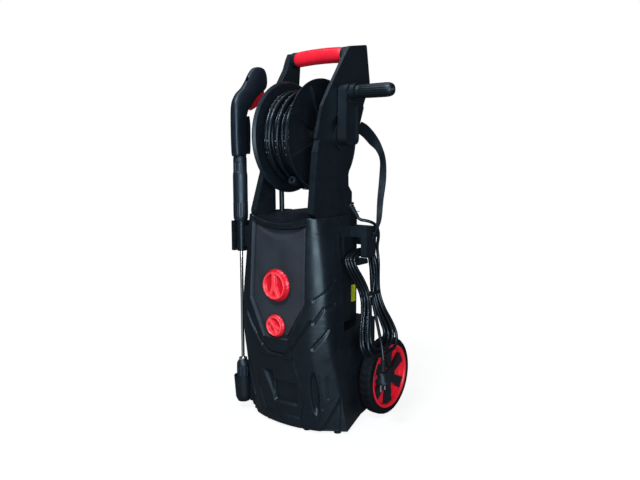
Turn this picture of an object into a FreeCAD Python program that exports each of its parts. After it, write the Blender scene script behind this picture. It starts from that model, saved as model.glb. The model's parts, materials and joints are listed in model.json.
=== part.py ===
"""Upright electric pressure washer with a hose reel, modelled piece by piece.

Millimetres.  +X is the right-hand side seen from the front, +Y is the back, +Z is up.
The floor is z = 0 and x = 0 is the middle of the casing.
"""
import FreeCAD
import Part
import math
import os

V = FreeCAD.Vector
os.makedirs("parts", exist_ok=True)

# ---------------------------------------------------------------- driving dimensions
WALL = 3.0
FIT = 0.05                      # radial running clearance
GAP = 0.4                       # clearance between pieces of different bodies

# Casing sections, floor to top: height, front middle y, front corner (x, y),
# side corner (x, y), rear side corner (x, y), back (x, y).
CASING = (
    (6, -142, (105, -122), (160, -84), (127, 26), (112, 118)),
    (110, -158, (112, -142), (149, -100), (129, 22), (112, 118)),
    (228, -170, (106, -163), (139, -134), (131, 20), (112, 118)),
    (325, -165.5, (104, -162), (137, -142), (130, 20), (112, 118)),
    (430, -160, (99, -158), (126, -138), (122, 20), (112, 118)),
    (535, -154.5, (95, -153), (110, -143), (112, 20), (108, 118)),
)
COVER_EDGE = ((-92, 6), (-104, 228), (-102, 325), (-70, 535))  # rear edge of the front cover (y, z)
SHELF_Z = 250                   # top of the base's rear half
TOP_Z = 535                     # seam at the top of the casing
FRAME_BACK = -62                # back of the bulkhead frame
BAY_X = 84                      # half width of the rear cover between the legs
BAY_BACK = 74                   # back of the rear cover

PANEL_TOP = (84, 522)           # half width and height of the control panel's top edge
PANEL_SIDE = (87, 325)
PANEL_FOOT = (38, 236)
PANEL_DEPTH = 7                 # depth of the panel's face behind the cover's surface

POWER_KNOB_Z = 367
POWER_KNOB_R = 33.5
POWER_BASE_R = 40
DETERGENT_KNOB_Z = 267
DETERGENT_KNOB_R = 24
DETERGENT_BASE_R = 28
KNOB_FACE_Y = -174.5
POWER_ROOT_Y = -159.1
DETERGENT_ROOT_Y = -163.7
KNOB_SHAFT_R = 5

LEG_OUT = 105                   # outer face of each upright's leg
LEG_IN = 87
WING_OUT = 112                  # outer face of the raised upper part of each upright
HANDLE_Y = 18
HANDLE_Z = 927
GRIP_R = 17.5
GRIP_HALF = 76

REEL_Y = -41
REEL_Z = 726
FLANGE_R = 140
FLANGE_LEFT = -49
FLANGE_RIGHT = 47
FLANGE_T = 3.5
DRUM_R = 80
COIL_R = 116
AXLE_R = 10
CRANK_IN = 114.5
CRANK_OUT = 139
CRANK_R = 29
CRANK_THROW = 103
CRANK_GRIP_R = 16
CRANK_GRIP_LENGTH = 97

WHEEL_Y = 94
WHEEL_Z = 102.3
WHEEL_R = 102.3
WHEEL_IN = 137
WHEEL_OUT = 174
AXLE_ROD_R = 6

GUN_X = -164.4
GUN_Y = -111.2
GUN_HALF = 14                   # half thickness of the gun body
LANCE_R = 4.4
TRIGGER_PIVOT = (GUN_Y + 41, 804)
TRIGGER_PIN_R = 2
NOZZLE_R = 17.5
CUP_R = 25

MOTOR_Y = -30
MOTOR_R = 56
CORD_R = 4.0
LEAD_HOSE_R = 6.5
HOOK_LEAN = 14.5                # degrees the hung hank leans outwards
HANK_IN = 112                   # inner and outer side of the hank before it leans
HANK_OUT = 138
HOOK_OUT = 163                  # outer face of the hook's post
ARM_TOP = 506
PLUG_X = 217
PLUG_Y = -16
PLUG_Z = 150                    # where the plug's relief meets its body


# ---------------------------------------------------------------- helpers
def box(x, y, z):
    """Block between the pairs of limits x, y and z."""
    size = (x[1] - x[0], y[1] - y[0], z[1] - z[0])
    return Part.makeBox(*size, V(x[0], y[0], z[0]))


def rod(radius, start, axis, length):
    return Part.makeCylinder(radius, length, V(*start), V(*axis))


def tube(outer, inner, start, axis, length):
    return rod(outer, start, axis, length).cut(rod(inner, start, axis, length))


def place(plane, a, b, level):
    """Point (a, b) of the plane across axis x, y or z at the given level."""
    return {"x": V(level, a, b), "y": V(a, level, b), "z": V(a, b, level)}[plane]


def outline(plane, corners, level):
    """Closed wire through the corners (a, b, radius), each rounded by an arc."""
    points = [place(plane, a, b, level) for a, b, _ in corners]
    turns = []
    for index, point in enumerate(points):
        radius = corners[index][2]
        back = points[index - 1] - point
        ahead = points[(index + 1) % len(points)] - point
        back.normalize()
        ahead.normalize()
        half = back.getAngle(ahead) / 2
        if radius == 0:
            turns.append((point, point, None))
            continue
        inward = back + ahead
        inward.normalize()
        reach = radius / math.tan(half)
        middle = point + inward * (radius / math.sin(half) - radius)
        turns.append((point + back * reach, point + ahead * reach, middle))
    edges = []
    for index, (start, end, middle) in enumerate(turns):
        if middle is not None:
            edges.append(Part.Arc(start, middle, end).toShape())
        following = turns[(index + 1) % len(turns)][0]
        if (following - end).Length > 1e-6:
            edges.append(Part.makeLine(end, following))
    return Part.Wire(edges)


def prism(plane, corners, low, high):
    """Solid with the rounded outline, between two levels of the plane's axis."""
    along = place(plane, 0, 0, high - low)
    return Part.Face(outline(plane, corners, low)).extrude(along)


def sharp(points, radius=0.0):
    """The points with one corner radius for all."""
    return [(a, b, radius) for a, b in points]


def mirror(shape):
    return shape.mirror(V(0, 0, 0), V(1, 0, 0))


def group(shapes):
    return Part.makeCompound(shapes)


def revolve(profile, centre, axis):
    """Solid of revolution of (axial, radial) points about an axis along X, Y or Z."""
    middle = V(*centre)
    along = V(*axis)
    across = V(0, 0, 1) if axis[2] == 0 else V(1, 0, 0)
    points = [middle + along * a + across * r for a, r in profile]
    wire = Part.makePolygon(points + [points[0]])
    return Part.Face(wire).revolve(middle, along, 360)


def save(name, shape):
    shape.exportStep("parts/" + name + ".step")


# ---------------------------------------------------------------- casing
def casing_section(row, inset):
    """Closed wire of one casing section, moved inwards by inset."""
    z, front, corner, side, rear, back = row
    corner = (corner[0] - 0.6 * inset, corner[1] + inset)
    side = (side[0] - inset, side[1] + 0.8 * inset)
    rear = (rear[0] - inset, rear[1])
    back = (back[0] - inset, back[1] - inset)
    bow = Part.Arc(V(-corner[0], corner[1], z), V(0, front + inset, z), V(corner[0], corner[1], z))
    right = [V(x, y, z) for x, y in (corner, side, rear, back)]
    left = [V(-x, y, z) for x, y in (back, rear, side, corner)]
    edges = [bow.toShape()]
    path = right + left
    for start, end in zip(path, path[1:]):
        edges.append(Part.makeLine(start, end))
    return Part.Wire(edges)


def casing(inset=0.0):
    return Part.makeLoft([casing_section(row, inset) for row in CASING], True, True)


def cover_side(extra=0.0):
    """Everything in front of the front cover's rear edge."""
    far = -260
    edge = [(y + extra, z) for y, z in COVER_EDGE]
    edge[0] = (edge[0][0], 0)
    edge[-1] = (edge[-1][0], TOP_Z + 40)
    return prism("x", sharp([(far, 0)] + edge + [(far, TOP_Z + 40)]), -220, 220)


def panel_prism(inset=0.0):
    (top_x, top_z), (side_x, side_z), (foot_x, foot_z) = PANEL_TOP, PANEL_SIDE, PANEL_FOOT
    right = [(top_x - inset, top_z), (side_x - inset, side_z), (foot_x - inset, foot_z + inset)]
    left = [(-x, z) for x, z in reversed(right)]
    return prism("y", sharp(right + left), -230, -120)


def insert_prism(inset=0.0):
    """Front view of the lower insert, a shield below the panel's foot."""
    right = [(47 - inset, 206 - inset), (74 - inset, 92), (58 - inset, 34 + inset)]
    left = [(-x, z) for x, z in reversed(right)]
    return prism("y", sharp(right + left), -230, -100)


def chevron(level, spread, rise, width, depth):
    """V-shaped groove cutter across the casing's front, following its surface."""
    upper = [(-spread, level + rise), (-44, level), (44, level), (spread, level + rise)]
    lower = [(x, z - width) for x, z in reversed(upper)]
    band = prism("y", sharp(upper + lower), -230, -80)
    return band.common(casing(-1)).cut(casing(depth))


def front_cover(outer, inner):
    shell = outer.cut(inner).common(cover_side())
    shell = shell.cut(box((-200, 200), (-260, 200), (0, 12)))
    shell = shell.cut(chevron(214, 142, 72, 5, 1.6))
    shell = shell.cut(insert_prism())
    shell = shell.cut(panel_prism())
    for side in (-1, 1):
        shell = shell.cut(box(sorted((side * 118, side * 126)), (-170, -80), (86, 200)))
    return shell


def control_panel():
    """Shallow tray let into the front cover: a floor and a rim wall."""
    floor = casing(PANEL_DEPTH).cut(casing(PANEL_DEPTH + WALL)).common(panel_prism(0.2))
    rim = casing(1.0).cut(casing(PANEL_DEPTH + WALL)).common(panel_prism(0.2).cut(panel_prism(2.7)))
    tray = floor.fuse(rim)
    for z in (POWER_KNOB_Z, DETERGENT_KNOB_Z):
        tray = tray.cut(rod(KNOB_SHAFT_R + GAP, (0, -200, z), (0, 1, 0), 200))
    return tray


def lower_insert(inner):
    """Shield-shaped insert with a hand recess, set a little behind the cover's surface."""
    plate = casing(1.0).cut(inner).common(insert_prism(0.3))
    around = prism("y", sharp(((-40, 72), (40, 72), (40, 126), (-40, 126)), 6), -230, -100)
    back = inner.cut(casing(WALL + 26)).common(around)
    pocket = prism("y", sharp(((-36, 78), (36, 78), (36, 120), (-36, 120)), 5), -230, -100)
    return plate.cut(pocket).fuse(back.cut(pocket.cut(casing(WALL + 23))))


def bulkhead(outer):
    """Ring-shaped frame behind the front cover that carries the legs and the motor."""
    limit = box((-150, 150), (-110, FRAME_BACK), (SHELF_Z, TOP_Z - 1))
    band = casing(2.0).cut(casing(2.0 + WALL)).common(limit).cut(cover_side(0.3))
    web = casing(2.0).common(box((-150, 150), (FRAME_BACK - 4, FRAME_BACK), (SHELF_Z, TOP_Z - 22)))
    window = box((-72, 72), (-120, 0), (SHELF_Z - 5, TOP_Z - 60))
    return band.fuse(web.cut(window)).cut(leg_cutter())


def base_tray():
    """Rear half of the base with its floor plate, wheel bosses and the shelf over it."""
    skin = casing(2.0)
    hollow = casing(2.0 + WALL)
    rear = box((-200, 200), (-110, 200), (0, SHELF_Z))
    walls = skin.cut(hollow).common(rear).cut(cover_side(0.3))
    floor = casing(WALL + 0.4).common(box((-200, 200), (-200, 200), (6, 10)))
    shelf = skin.common(box((-200, 200), (-62, 200), (SHELF_Z - WALL, SHELF_Z)))
    shelf = shelf.cut(cover_side(0.3)).cut(box((-80, 80), (-90, BAY_BACK - 4), (0, 400)))
    tray = walls.fuse(floor).fuse(shelf)
    for side in (-1, 1):
        inner_end, outer_end = sorted((side * 96, side * 119))
        boss = rod(15, (inner_end, WHEEL_Y, WHEEL_Z), (1, 0, 0), outer_end - inner_end)
        tray = tray.fuse(boss.common(skin))
    bore = rod(AXLE_ROD_R, (-200, WHEEL_Y, WHEEL_Z), (1, 0, 0), 400)
    tray = tray.cut(bore).cut(leg_cutter())
    return tray.cut(rod(8.0, (0, 60, 70), (0, 1, 0), 100))


def rear_cover():
    """U-shaped shell closing the back of the casing between the legs."""
    back = BAY_BACK
    corners = [(-BAY_X, FRAME_BACK, 0), (BAY_X, FRAME_BACK, 0), (BAY_X, back, 14), (-BAY_X, back, 14)]
    inside = [(-BAY_X + WALL, FRAME_BACK, 0), (BAY_X - WALL, FRAME_BACK, 0),
              (BAY_X - WALL, back - WALL, 11), (-BAY_X + WALL, back - WALL, 11)]
    shell = prism("z", corners, SHELF_Z, TOP_Z - 1).cut(prism("z", inside, SHELF_Z, TOP_Z - 4))
    for level in range(300, 400, 14):
        shell = shell.cut(box((-46, 46), (back - 10, back + 10), (level, level + 6)))
    return shell.cut(rod(LEAD_HOSE_R + 1, (-73, -53, TOP_Z - 20), (0, 0, 1), 40))


def top_tray():
    """Dished lid between the legs at the top of the casing."""
    half = LEG_IN - 0.2
    plate = casing(WALL).common(box((-half, half), (-200, FRAME_BACK - 4), (TOP_Z - 14, TOP_Z)))
    rear = box((-BAY_X, BAY_X), (FRAME_BACK - 4, BAY_BACK), (TOP_Z - 1, TOP_Z + 2))
    dish = Part.makeSphere(420, V(0, -60, TOP_Z + 410))
    riser = box((-80, 80), (-74, FRAME_BACK - 0.2), (TOP_Z - 14, TOP_Z + 2))
    plate = plate.cut(dish).cut(panel_prism(-1)).fuse(rear).fuse(riser)
    return plate.cut(rod(LEAD_HOSE_R + 1, (-73, -53, TOP_Z - 40), (0, 0, 1), 60))


# ---------------------------------------------------------------- uprights and handle
LEG = ((-134, 688), (-151, 545), (-134, 532), (-134, 262), (8, 262), (9, 590), (-6, 606), (-7, 634),
       (17, 696), (60, 800), (34, 838), (22, 866), (34, 910), (38, 944), (2, 944), (-54, 862), (-100, 772))
WING = ((-14, 941), (60, 953), (76, 862), (40, 790), (-26, 806), (-95, 753), (-152, 702), (-124, 794),
        (-84, 851), (-39, 911))
WING_T = 9                      # thickness of the wing, outside the leg
# The left upright stands on the same foot, but is slimmer, leans back and has no wing.
LEFT_LEG = ((-136, 545), (-134, 532), (-134, 262), (8, 262), (8, 538), (-60, 539), (-61, 606), (-44, 672),
            (2, 742), (26, 812), (40, 868), (44, 912), (42, 944), (12, 944), (2, 926), (-8, 902), (-36, 862),
            (-74, 728), (-101, 640))


def leg_with_seats(outline):
    """Leg of this side view from the casing up, with the reel's hub and the handle's seat."""
    leg = prism("x", [(y, z, 3) for y, z in outline], LEG_IN, LEG_OUT)
    seat = box((LEG_IN - 1, LEG_IN + 2), (4, 34), (908, 940))
    hub = rod(34, (LEG_IN - 1, REEL_Y, REEL_Z), (1, 0, 0), WING_OUT - LEG_IN + 1)
    return leg.fuse(hub).fuse(seat)


def right_upright():
    wing = prism("x", [(y, z, 6) for y, z in WING], WING_OUT - WING_T, WING_OUT)
    bore = rod(AXLE_R + FIT, (80, REEL_Y, REEL_Z), (1, 0, 0), 40)
    return leg_with_seats(LEG).fuse(wing).removeSplitter().cut(bore)


def leg_cutter(slack=0.0):
    """Space taken by both legs inside the casing."""
    reach = box((LEG_IN - slack, LEG_OUT + slack), (-152 - slack, 9 + slack), (262 - slack, 560))
    return reach.fuse(mirror(reach))


def handle_sockets():
    """Cups at both ends of the grip, seated on the uprights."""
    socket = rod(GRIP_R + 2, (GRIP_HALF - 4, HANDLE_Y, HANDLE_Z), (1, 0, 0), LEG_IN - GRIP_HALF + 3)
    socket = socket.cut(rod(GRIP_R, (GRIP_HALF - 6, HANDLE_Y, HANDLE_Z), (1, 0, 0), 6))
    socket = socket.cut(rod(8, (GRIP_HALF - 6, HANDLE_Y, HANDLE_Z), (1, 0, 0), 40))
    return group([socket, mirror(socket)])


def handle_grip():
    return tube(GRIP_R, 8, (-GRIP_HALF, HANDLE_Y, HANDLE_Z), (1, 0, 0), 2 * GRIP_HALF)


def handle_core():
    return tube(8, 6, (-LEG_IN + 1, HANDLE_Y, HANDLE_Z), (1, 0, 0), 2 * LEG_IN - 2)


# ---------------------------------------------------------------- hose reel
def flange(x, outward):
    """Dished flange with a rolled rim; outward is +1 on the right and -1 on the left."""
    rim = 5
    profile = [(0, AXLE_R + 14), (0, FLANGE_R - rim), (outward * rim, FLANGE_R), (outward * 8, FLANGE_R),
               (outward * 8, FLANGE_R - 3), (outward * FLANGE_T, FLANGE_R - rim - 5),
               (outward * FLANGE_T, AXLE_R + 14)]
    disc = revolve(profile, (x, REEL_Y, REEL_Z), (1, 0, 0))
    low, high = sorted((x + outward * (FLANGE_T - 1), x + outward * 8))
    rib = box((low, high), (REEL_Y + 44, REEL_Y + FLANGE_R - 9), (REEL_Z - 2, REEL_Z + 2))
    for step in range(8):
        spoke = rib.copy()
        spoke.rotate(V(0, REEL_Y, REEL_Z), V(1, 0, 0), 45 * step + 22)
        disc = disc.fuse(spoke)
    return disc


def reel_drum():
    width = FLANGE_RIGHT - FLANGE_LEFT
    drum = tube(DRUM_R, DRUM_R - 4, (FLANGE_LEFT, REEL_Y, REEL_Z), (1, 0, 0), width)
    web = tube(DRUM_R - 3, AXLE_R, (-3, REEL_Y, REEL_Z), (1, 0, 0), 6)
    return drum.fuse(web)


def reel_axle():
    """Shaft from the swivel on the left to the crank on the right, with its flange hubs."""
    shaft = rod(AXLE_R, (-70, REEL_Y, REEL_Z), (1, 0, 0), CRANK_OUT - 4 + 70)
    for x in (FLANGE_LEFT - FLANGE_T - 6, FLANGE_RIGHT - 2):
        shaft = shaft.fuse(rod(AXLE_R + 14, (x, REEL_Y, REEL_Z), (1, 0, 0), FLANGE_T + 8))
    return shaft.fuse(rod(AXLE_R + 6, (62, REEL_Y, REEL_Z), (1, 0, 0), 18))


def crank_arm():
    """Lever from the reel's axle up to the boss of the hand grip."""
    top = REEL_Z + CRANK_THROW
    low = REEL_Z - 20
    round_end = 16
    corners = [(REEL_Y - CRANK_R, low, round_end), (REEL_Y + CRANK_R, low, round_end),
               (REEL_Y + CRANK_R - 4, top + 19, 18), (REEL_Y - CRANK_R + 4, top + 19, 18)]
    arm = prism("x", corners, CRANK_IN, CRANK_OUT)
    hollow = [(REEL_Y - 22, REEL_Z - 10, 8), (REEL_Y + 22, REEL_Z - 10, 8),
              (REEL_Y + 19, top - 26, 8), (REEL_Y - 19, top - 26, 8)]
    rebate = prism("x", hollow, CRANK_OUT - 3, CRANK_OUT + 1)
    boss = rod(19, (CRANK_OUT, REEL_Y, top), (1, 0, 0), 13)
    arm = arm.cut(rebate).fuse(boss)
    arm = arm.cut(rod(AXLE_R, (0, REEL_Y, REEL_Z), (1, 0, 0), CRANK_OUT - 4))
    return arm.cut(rod(5, (CRANK_IN + 4, REEL_Y, top), (1, 0, 0), 60))


def crank_pin():
    """Shouldered pin on which the hand grip turns."""
    top = REEL_Z + CRANK_THROW
    start = CRANK_IN + 4
    pin = rod(5, (start, REEL_Y, top), (1, 0, 0), CRANK_OUT + 13 + GAP + CRANK_GRIP_LENGTH - 6 - start)
    return pin.fuse(rod(9, (CRANK_OUT + 13 + GAP + CRANK_GRIP_LENGTH - 10, REEL_Y, top), (1, 0, 0), 4))


def crank_grip():
    top = REEL_Z + CRANK_THROW
    start = CRANK_OUT + 13 + GAP
    profile = [(0, 5 + FIT), (0, 15), (2, CRANK_GRIP_R), (CRANK_GRIP_LENGTH - 4, CRANK_GRIP_R + 1),
               (CRANK_GRIP_LENGTH, 14), (CRANK_GRIP_LENGTH, 9.4), (CRANK_GRIP_LENGTH - 10 - GAP, 9.4),
               (CRANK_GRIP_LENGTH - 10 - GAP, 5 + FIT)]
    return revolve(profile, (start, REEL_Y, top), (1, 0, 0))


def hose_coil():
    """Outer shape of the wound high-pressure hose."""
    profile = [(0, DRUM_R), (0, COIL_R - 8), (8, COIL_R), (78, COIL_R), (86, COIL_R - 8), (86, DRUM_R)]
    return revolve(profile, (-43, REEL_Y, REEL_Z), (1, 0, 0))


def hose_connector():
    """Gun coupling on the hose's free end, parked against the outer turns."""
    radius = COIL_R + 11
    body = rod(9, (22, REEL_Y + radius, REEL_Z - 30), (0, 0, 1), 34)
    nut = rod(10.5, (22, REEL_Y + radius, REEL_Z - 46), (0, 0, 1), 18)
    joined = body.fuse(nut).cut(rod(4, (22, REEL_Y + radius, REEL_Z - 50), (0, 0, 1), 30))
    joined.rotate(V(0, REEL_Y, REEL_Z), V(1, 0, 0), -110)
    return joined


def swivel():
    """Fixed elbow on the left upright that feeds water into the turning axle."""
    body = tube(15, AXLE_R + FIT, (-LEG_IN + 1, REEL_Y, REEL_Z), (1, 0, 0), 25)
    cap = rod(15, (-LEG_IN + 1, REEL_Y, REEL_Z), (1, 0, 0), 14)
    spout = rod(9, (-77, -43.7, 692), (0, 0.08, 1), 26)
    solid = body.fuse(cap).fuse(spout)
    return solid.cut(rod(AXLE_R + FIT, (-71, REEL_Y, REEL_Z), (1, 0, 0), 20))


# ---------------------------------------------------------------- hoses and cords
def route_path(points):
    """Straight runs joined by tangent arcs, each as large as its two runs allow."""
    points = [V(*point) for point in points]
    edges = []
    radii = []
    start = points[0]
    for before, point, after in zip(points, points[1:], points[2:]):
        back = before - point
        ahead = after - point
        shorter = min(back.Length, ahead.Length)
        back.normalize()
        ahead.normalize()
        half_turn = (math.pi - back.getAngle(ahead)) / 2
        reach = 0.45 * shorter
        radius = reach / math.tan(half_turn)
        inward = back + ahead
        inward.normalize()
        middle = point + inward * (radius / math.cos(half_turn) - radius)
        arc_start = point + back * reach
        edges.append(Part.makeLine(start, arc_start))
        start = point + ahead * reach
        edges.append(Part.Arc(arc_start, middle, start).toShape())
        radii.append(radius)
    edges.append(Part.makeLine(start, points[-1]))
    return Part.Wire(edges), radii


def cord_tube(name, points, radius):
    """Round tube along a route; prints its bend radii and compares its volume."""
    path, radii = route_path(points)
    first = V(*points[0])
    along = V(*points[1]) - first
    section = Part.Wire(Part.makeCircle(radius, first, along))
    solid = path.makePipeShell([section], True, False, 2)
    expected = math.pi * radius ** 2 * path.Length
    print(name, "length", round(path.Length), "radii", [round(value) for value in radii],
          "volume ratio", round(solid.Volume / expected, 4))
    return solid


LEAD_HOSE = ((-50, -33, 95), (-69, -43, 124), (-75, -50, 178), (-72, -53, 290), (-71, -52, 430),
             (-73, -53, 560), (-77, -49, 628), (-77, -43.7, 692))
CORD_LEAD = ((115.1, 16.5, 529.4), (119.8, 20.1, 519.5), (136, 32, 518), (150, 52, 508),
             (151, 66, 482), (138, 70, 444))
CORD_TAIL = ((165, 14, 322), (174, 10, 300), (187, 3, 268), (202, -7, 236), (213, -14, 210),
             (PLUG_X, PLUG_Y, PLUG_Z + 36))
# Centre and half-width vector of each section along the strap.
STRAP = (((103, 41, 752), (0, 12, 13)), ((106, 66, 741), (0, 10, 15)), ((112, 90, 716), (2, 10, 13)),
         ((135, 100, 668), (8, 1, 2)), ((145, 88, 610), (9, 9, 3)), ((156, 57, 552), (8, 1, 1)),
         ((166, 39, 500), (7, 3, 2)))
STRAP_HALF = 1.3                # half thickness of the strap


def strap():
    """Flat rubber strap from the right upright down to the cord hook, twisted on the way."""
    sections = []
    for index, (centre, half) in enumerate(STRAP):
        before = V(*STRAP[max(index - 1, 0)][0])
        after = V(*STRAP[min(index + 1, len(STRAP) - 1)][0])
        normal = (after - before).cross(V(*half))
        normal.normalize()
        normal = normal * STRAP_HALF
        middle = V(*centre)
        side = V(*half)
        corners = [middle + side + normal, middle - side + normal,
                   middle - side - normal, middle + side - normal]
        sections.append(Part.makePolygon(corners + [corners[0]]))
    return Part.makeLoft(sections, True, True)


def cord_hook():
    """Bracket on the right leg: a saddle for the cord under an arm with a hanging end post."""
    inner = HOOK_OUT - 17
    saddle = prism("x", [(-12, 409, 3), (36, 409, 3), (32, 423, 8), (-8, 423, 8)], LEG_OUT, HANK_OUT)
    arm = box((LEG_OUT, HOOK_OUT), (-12, 34), (480, ARM_TOP))
    post = prism("x", [(-12, 430, 4), (30, 430, 4), (34, ARM_TOP, 4), (-12, ARM_TOP, 4)], inner, HOOK_OUT)
    plate = box((LEG_OUT, LEG_OUT + 4), (-30, 8), (409, ARM_TOP))
    stem = rod(4, (HOOK_OUT - 1, 22, 488), (1, 0, 0), 7)
    head = rod(8, (HOOK_OUT + 6, 22, 488), (1, 0, 0), 4)
    return plate.fuse(saddle).fuse(arm).fuse(post).fuse(stem).fuse(head).removeSplitter()


# Side outlines (y, z, corner radius) of the hung hank: outside, loop over the saddle, lower loop.
HANK = ((-56, 452, 34), (86, 452, 34), (58, 330, 60), (92, 172, 42), (-62, 172, 42), (-14, 330, 60))
UPPER_LOOP = ((-20, 431, 12), (44, 431, 12), (44, 402, 10), (34, 362, 8), (4, 362, 8), (-20, 402, 10))
LOWER_LOOP = ((4, 290, 8), (34, 290, 8), (62, 200, 20), (-34, 200, 20))
TIE_Z = 325                     # underside of the band round the waist
HANK_TOP = (120, 0, 452)        # point about which the hank leans


def lean(shape):
    """Lean a shape built upright outwards about the top of the hook's saddle."""
    shape.rotate(V(*HANK_TOP), V(0, 1, 0), -HOOK_LEAN)
    return shape


def cord_hank():
    """Outer shape of the cord's loops hung over the saddle and tied at the waist."""
    solid = prism("x", HANK, HANK_IN, HANK_OUT)
    for loop in (UPPER_LOOP, LOWER_LOOP):
        solid = solid.cut(prism("x", loop, HANK_IN - 1, HANK_OUT + 1))
    return lean(solid)


def cord_tie():
    """Band round the waist of the hank."""
    low, high = -20, 62
    thick = 2
    ring = box((HANK_IN - thick, HANK_OUT + thick), (low - thick, high + thick), (TIE_Z, TIE_Z + 10))
    return lean(ring.cut(box((HANK_IN, HANK_OUT), (low, high), (TIE_Z - 1, TIE_Z + 11))))


def cord_gland():
    """Ribbed strain relief where the mains cord leaves the right leg."""
    start = V(100, 5, 560)
    along = V(0.42, 0.32, -0.85)
    along.normalize()
    relief = Part.makeCone(8, 5.5, 40, start, along)
    for step in range(5):
        ring = Part.makeCylinder(8.6 - 0.5 * step, 3.5, start + along * (6 + 7 * step), along)
        relief = relief.fuse(ring)
    collar = Part.makeCylinder(11, 5, start + along, along)
    return relief.fuse(collar).cut(box((80, LEG_OUT), (-40, 9), (480, 620)))


def plug_body():
    """Moulded plug hanging from the cord, its strain relief on top."""
    profile = [(-38, 0), (-38, 6), (-2, 9), (0, 15), (20, 18), (24, 17), (26, 14), (26, 0)]
    return revolve(profile, (PLUG_X, PLUG_Y, PLUG_Z), (0, 0, -1))


def plug_pins():
    """Two round pins, 19 mm apart."""
    top = PLUG_Z - 26
    return group([rod(2.4, (PLUG_X, PLUG_Y + side * 9.5, top), (0, 0, -1), 19) for side in (-1, 1)])


# ---------------------------------------------------------------- wheels
def tyre():
    """Right tyre: a hollow-section ring with a rounded tread."""
    wide = WHEEL_OUT - WHEEL_IN
    profile = [(0, 84), (0, 94), (7, WHEEL_R), (wide - 7, WHEEL_R), (wide, 94), (wide, 90), (wide - 3, 84)]
    return revolve(profile, (WHEEL_IN, WHEEL_Y, WHEEL_Z), (1, 0, 0))


def rim():
    """Right rim: web, hub tube and the coloured ring that shows beside the tyre."""
    wide = WHEEL_OUT - WHEEL_IN
    bore = AXLE_ROD_R + FIT
    profile = [(4, 84), (4, 78), (16, 74), (16, 24), (2, 24), (2, bore), (wide - 6, bore), (wide - 6, 24),
               (22, 24), (22, 74), (wide - 3, 76), (wide, 79), (wide, 84), (wide - 3, 84)]
    return revolve(profile, (WHEEL_IN, WHEEL_Y, WHEEL_Z), (1, 0, 0))


def wheel_cap():
    """Right hub cap: six spokes over the rim's web."""
    start = WHEEL_IN + 22
    hub = rod(23.5, (WHEEL_OUT - 6, WHEEL_Y, WHEEL_Z), (1, 0, 0), 5)
    cap = hub.cut(rod(10, (WHEEL_OUT - 7, WHEEL_Y, WHEEL_Z), (1, 0, 0), 4))
    for step in range(6):
        corners = [(WHEEL_Y - 9, WHEEL_Z + 24, 0), (WHEEL_Y + 9, WHEEL_Z + 24, 0),
                   (WHEEL_Y + 15, WHEEL_Z + 72, 0), (WHEEL_Y - 15, WHEEL_Z + 72, 0)]
        spoke = prism("x", corners, start, WHEEL_OUT - 4)
        link = box((WHEEL_OUT - 6, WHEEL_OUT - 4), (WHEEL_Y - 8, WHEEL_Y + 8), (WHEEL_Z + 20, WHEEL_Z + 26))
        spoke = spoke.fuse(link)
        spoke.rotate(V(0, WHEEL_Y, WHEEL_Z), V(1, 0, 0), 60 * step)
        cap = cap.fuse(spoke)
    return cap


def wheel_axle():
    """Steel axle with a retaining washer at each end."""
    axle = rod(AXLE_ROD_R, (-WHEEL_OUT + 4, WHEEL_Y, WHEEL_Z), (1, 0, 0), 2 * WHEEL_OUT - 8)
    washer = rod(9.5, (WHEEL_OUT - 6 + GAP, WHEEL_Y, WHEEL_Z), (1, 0, 0), 1.6)
    return axle.fuse(washer).fuse(mirror(washer))


# ---------------------------------------------------------------- spray gun and its parking
def from_lance(points):
    """Corners (y, z, radius) of the gun given from the lance's axis, as places in the frame."""
    return [(GUN_Y + y, z, radius) for y, z, radius in points]


def gun_body():
    """Barrel jacket and pistol grip, hung muzzle down, with a rib behind the jacket."""
    side = from_lance([(-23, 810, 8), (-5, 834, 8), (12, 850, 6), (40, 894, 8), (58, 909, 8),
                       (90, 909, 12), (103, 864, 6), (60, 836, 6), (29, 800, 10), (17, 760, 4),
                       (17, 678, 2), (-21, 678, 2), (-24, 700, 6)])
    body = prism("x", side, GUN_X - GUN_HALF, GUN_X + GUN_HALF)
    rib = prism("x", from_lance([(15, 684, 0), (35, 684, 2), (37, 770, 4), (29, 790, 3), (15, 790, 0)]),
                GUN_X - GUN_HALF / 2, GUN_X + GUN_HALF / 2)
    slot = box((GUN_X - 5.5, GUN_X + 5.5), (GUN_Y + 25, GUN_Y + 108), (795, 882))
    body = body.fuse(rib).cut(slot)
    body = body.cut(rod(LANCE_R + 8, (GUN_X, GUN_Y, 670), (0, 0, 1), 60))
    return body.cut(rod(TRIGGER_PIN_R, (GUN_X - GUN_HALF, *TRIGGER_PIVOT), (1, 0, 0), 2 * GUN_HALF))


def trigger():
    """Trigger lever in front of the pistol grip, pivoted beside the barrel."""
    lever = from_lance([(37, 798, 3), (47, 796, 3), (76, 817, 10), (95, 838, 6), (91, 862, 4),
                        (74, 860, 3), (35, 812, 3)])
    solid = prism("x", lever, GUN_X - 4.5, GUN_X + 4.5)
    return solid.cut(rod(TRIGGER_PIN_R + FIT, (GUN_X - 5, *TRIGGER_PIVOT), (1, 0, 0), 10))


def trigger_pin():
    return rod(TRIGGER_PIN_R, (GUN_X - GUN_HALF, *TRIGGER_PIVOT), (1, 0, 0), 2 * GUN_HALF)


def lance_grip():
    """Handle tube on the lance with its bayonet ring."""
    profile = [(678, LANCE_R), (678, 17), (640, 18), (636, 19), (520, 19), (512, 16), (512, LANCE_R)]
    return revolve(profile, (GUN_X, GUN_Y, 0), (0, 0, 1))


def lance_tube():
    """Plated lance with the ring that keeps the nozzle on it."""
    collar = tube(11, LANCE_R - 1, (GUN_X, GUN_Y, 134 + GAP), (0, 0, 1), 7)
    return tube(LANCE_R, 2.6, (GUN_X, GUN_Y, 118), (0, 0, 1), 600).fuse(collar)


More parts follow.
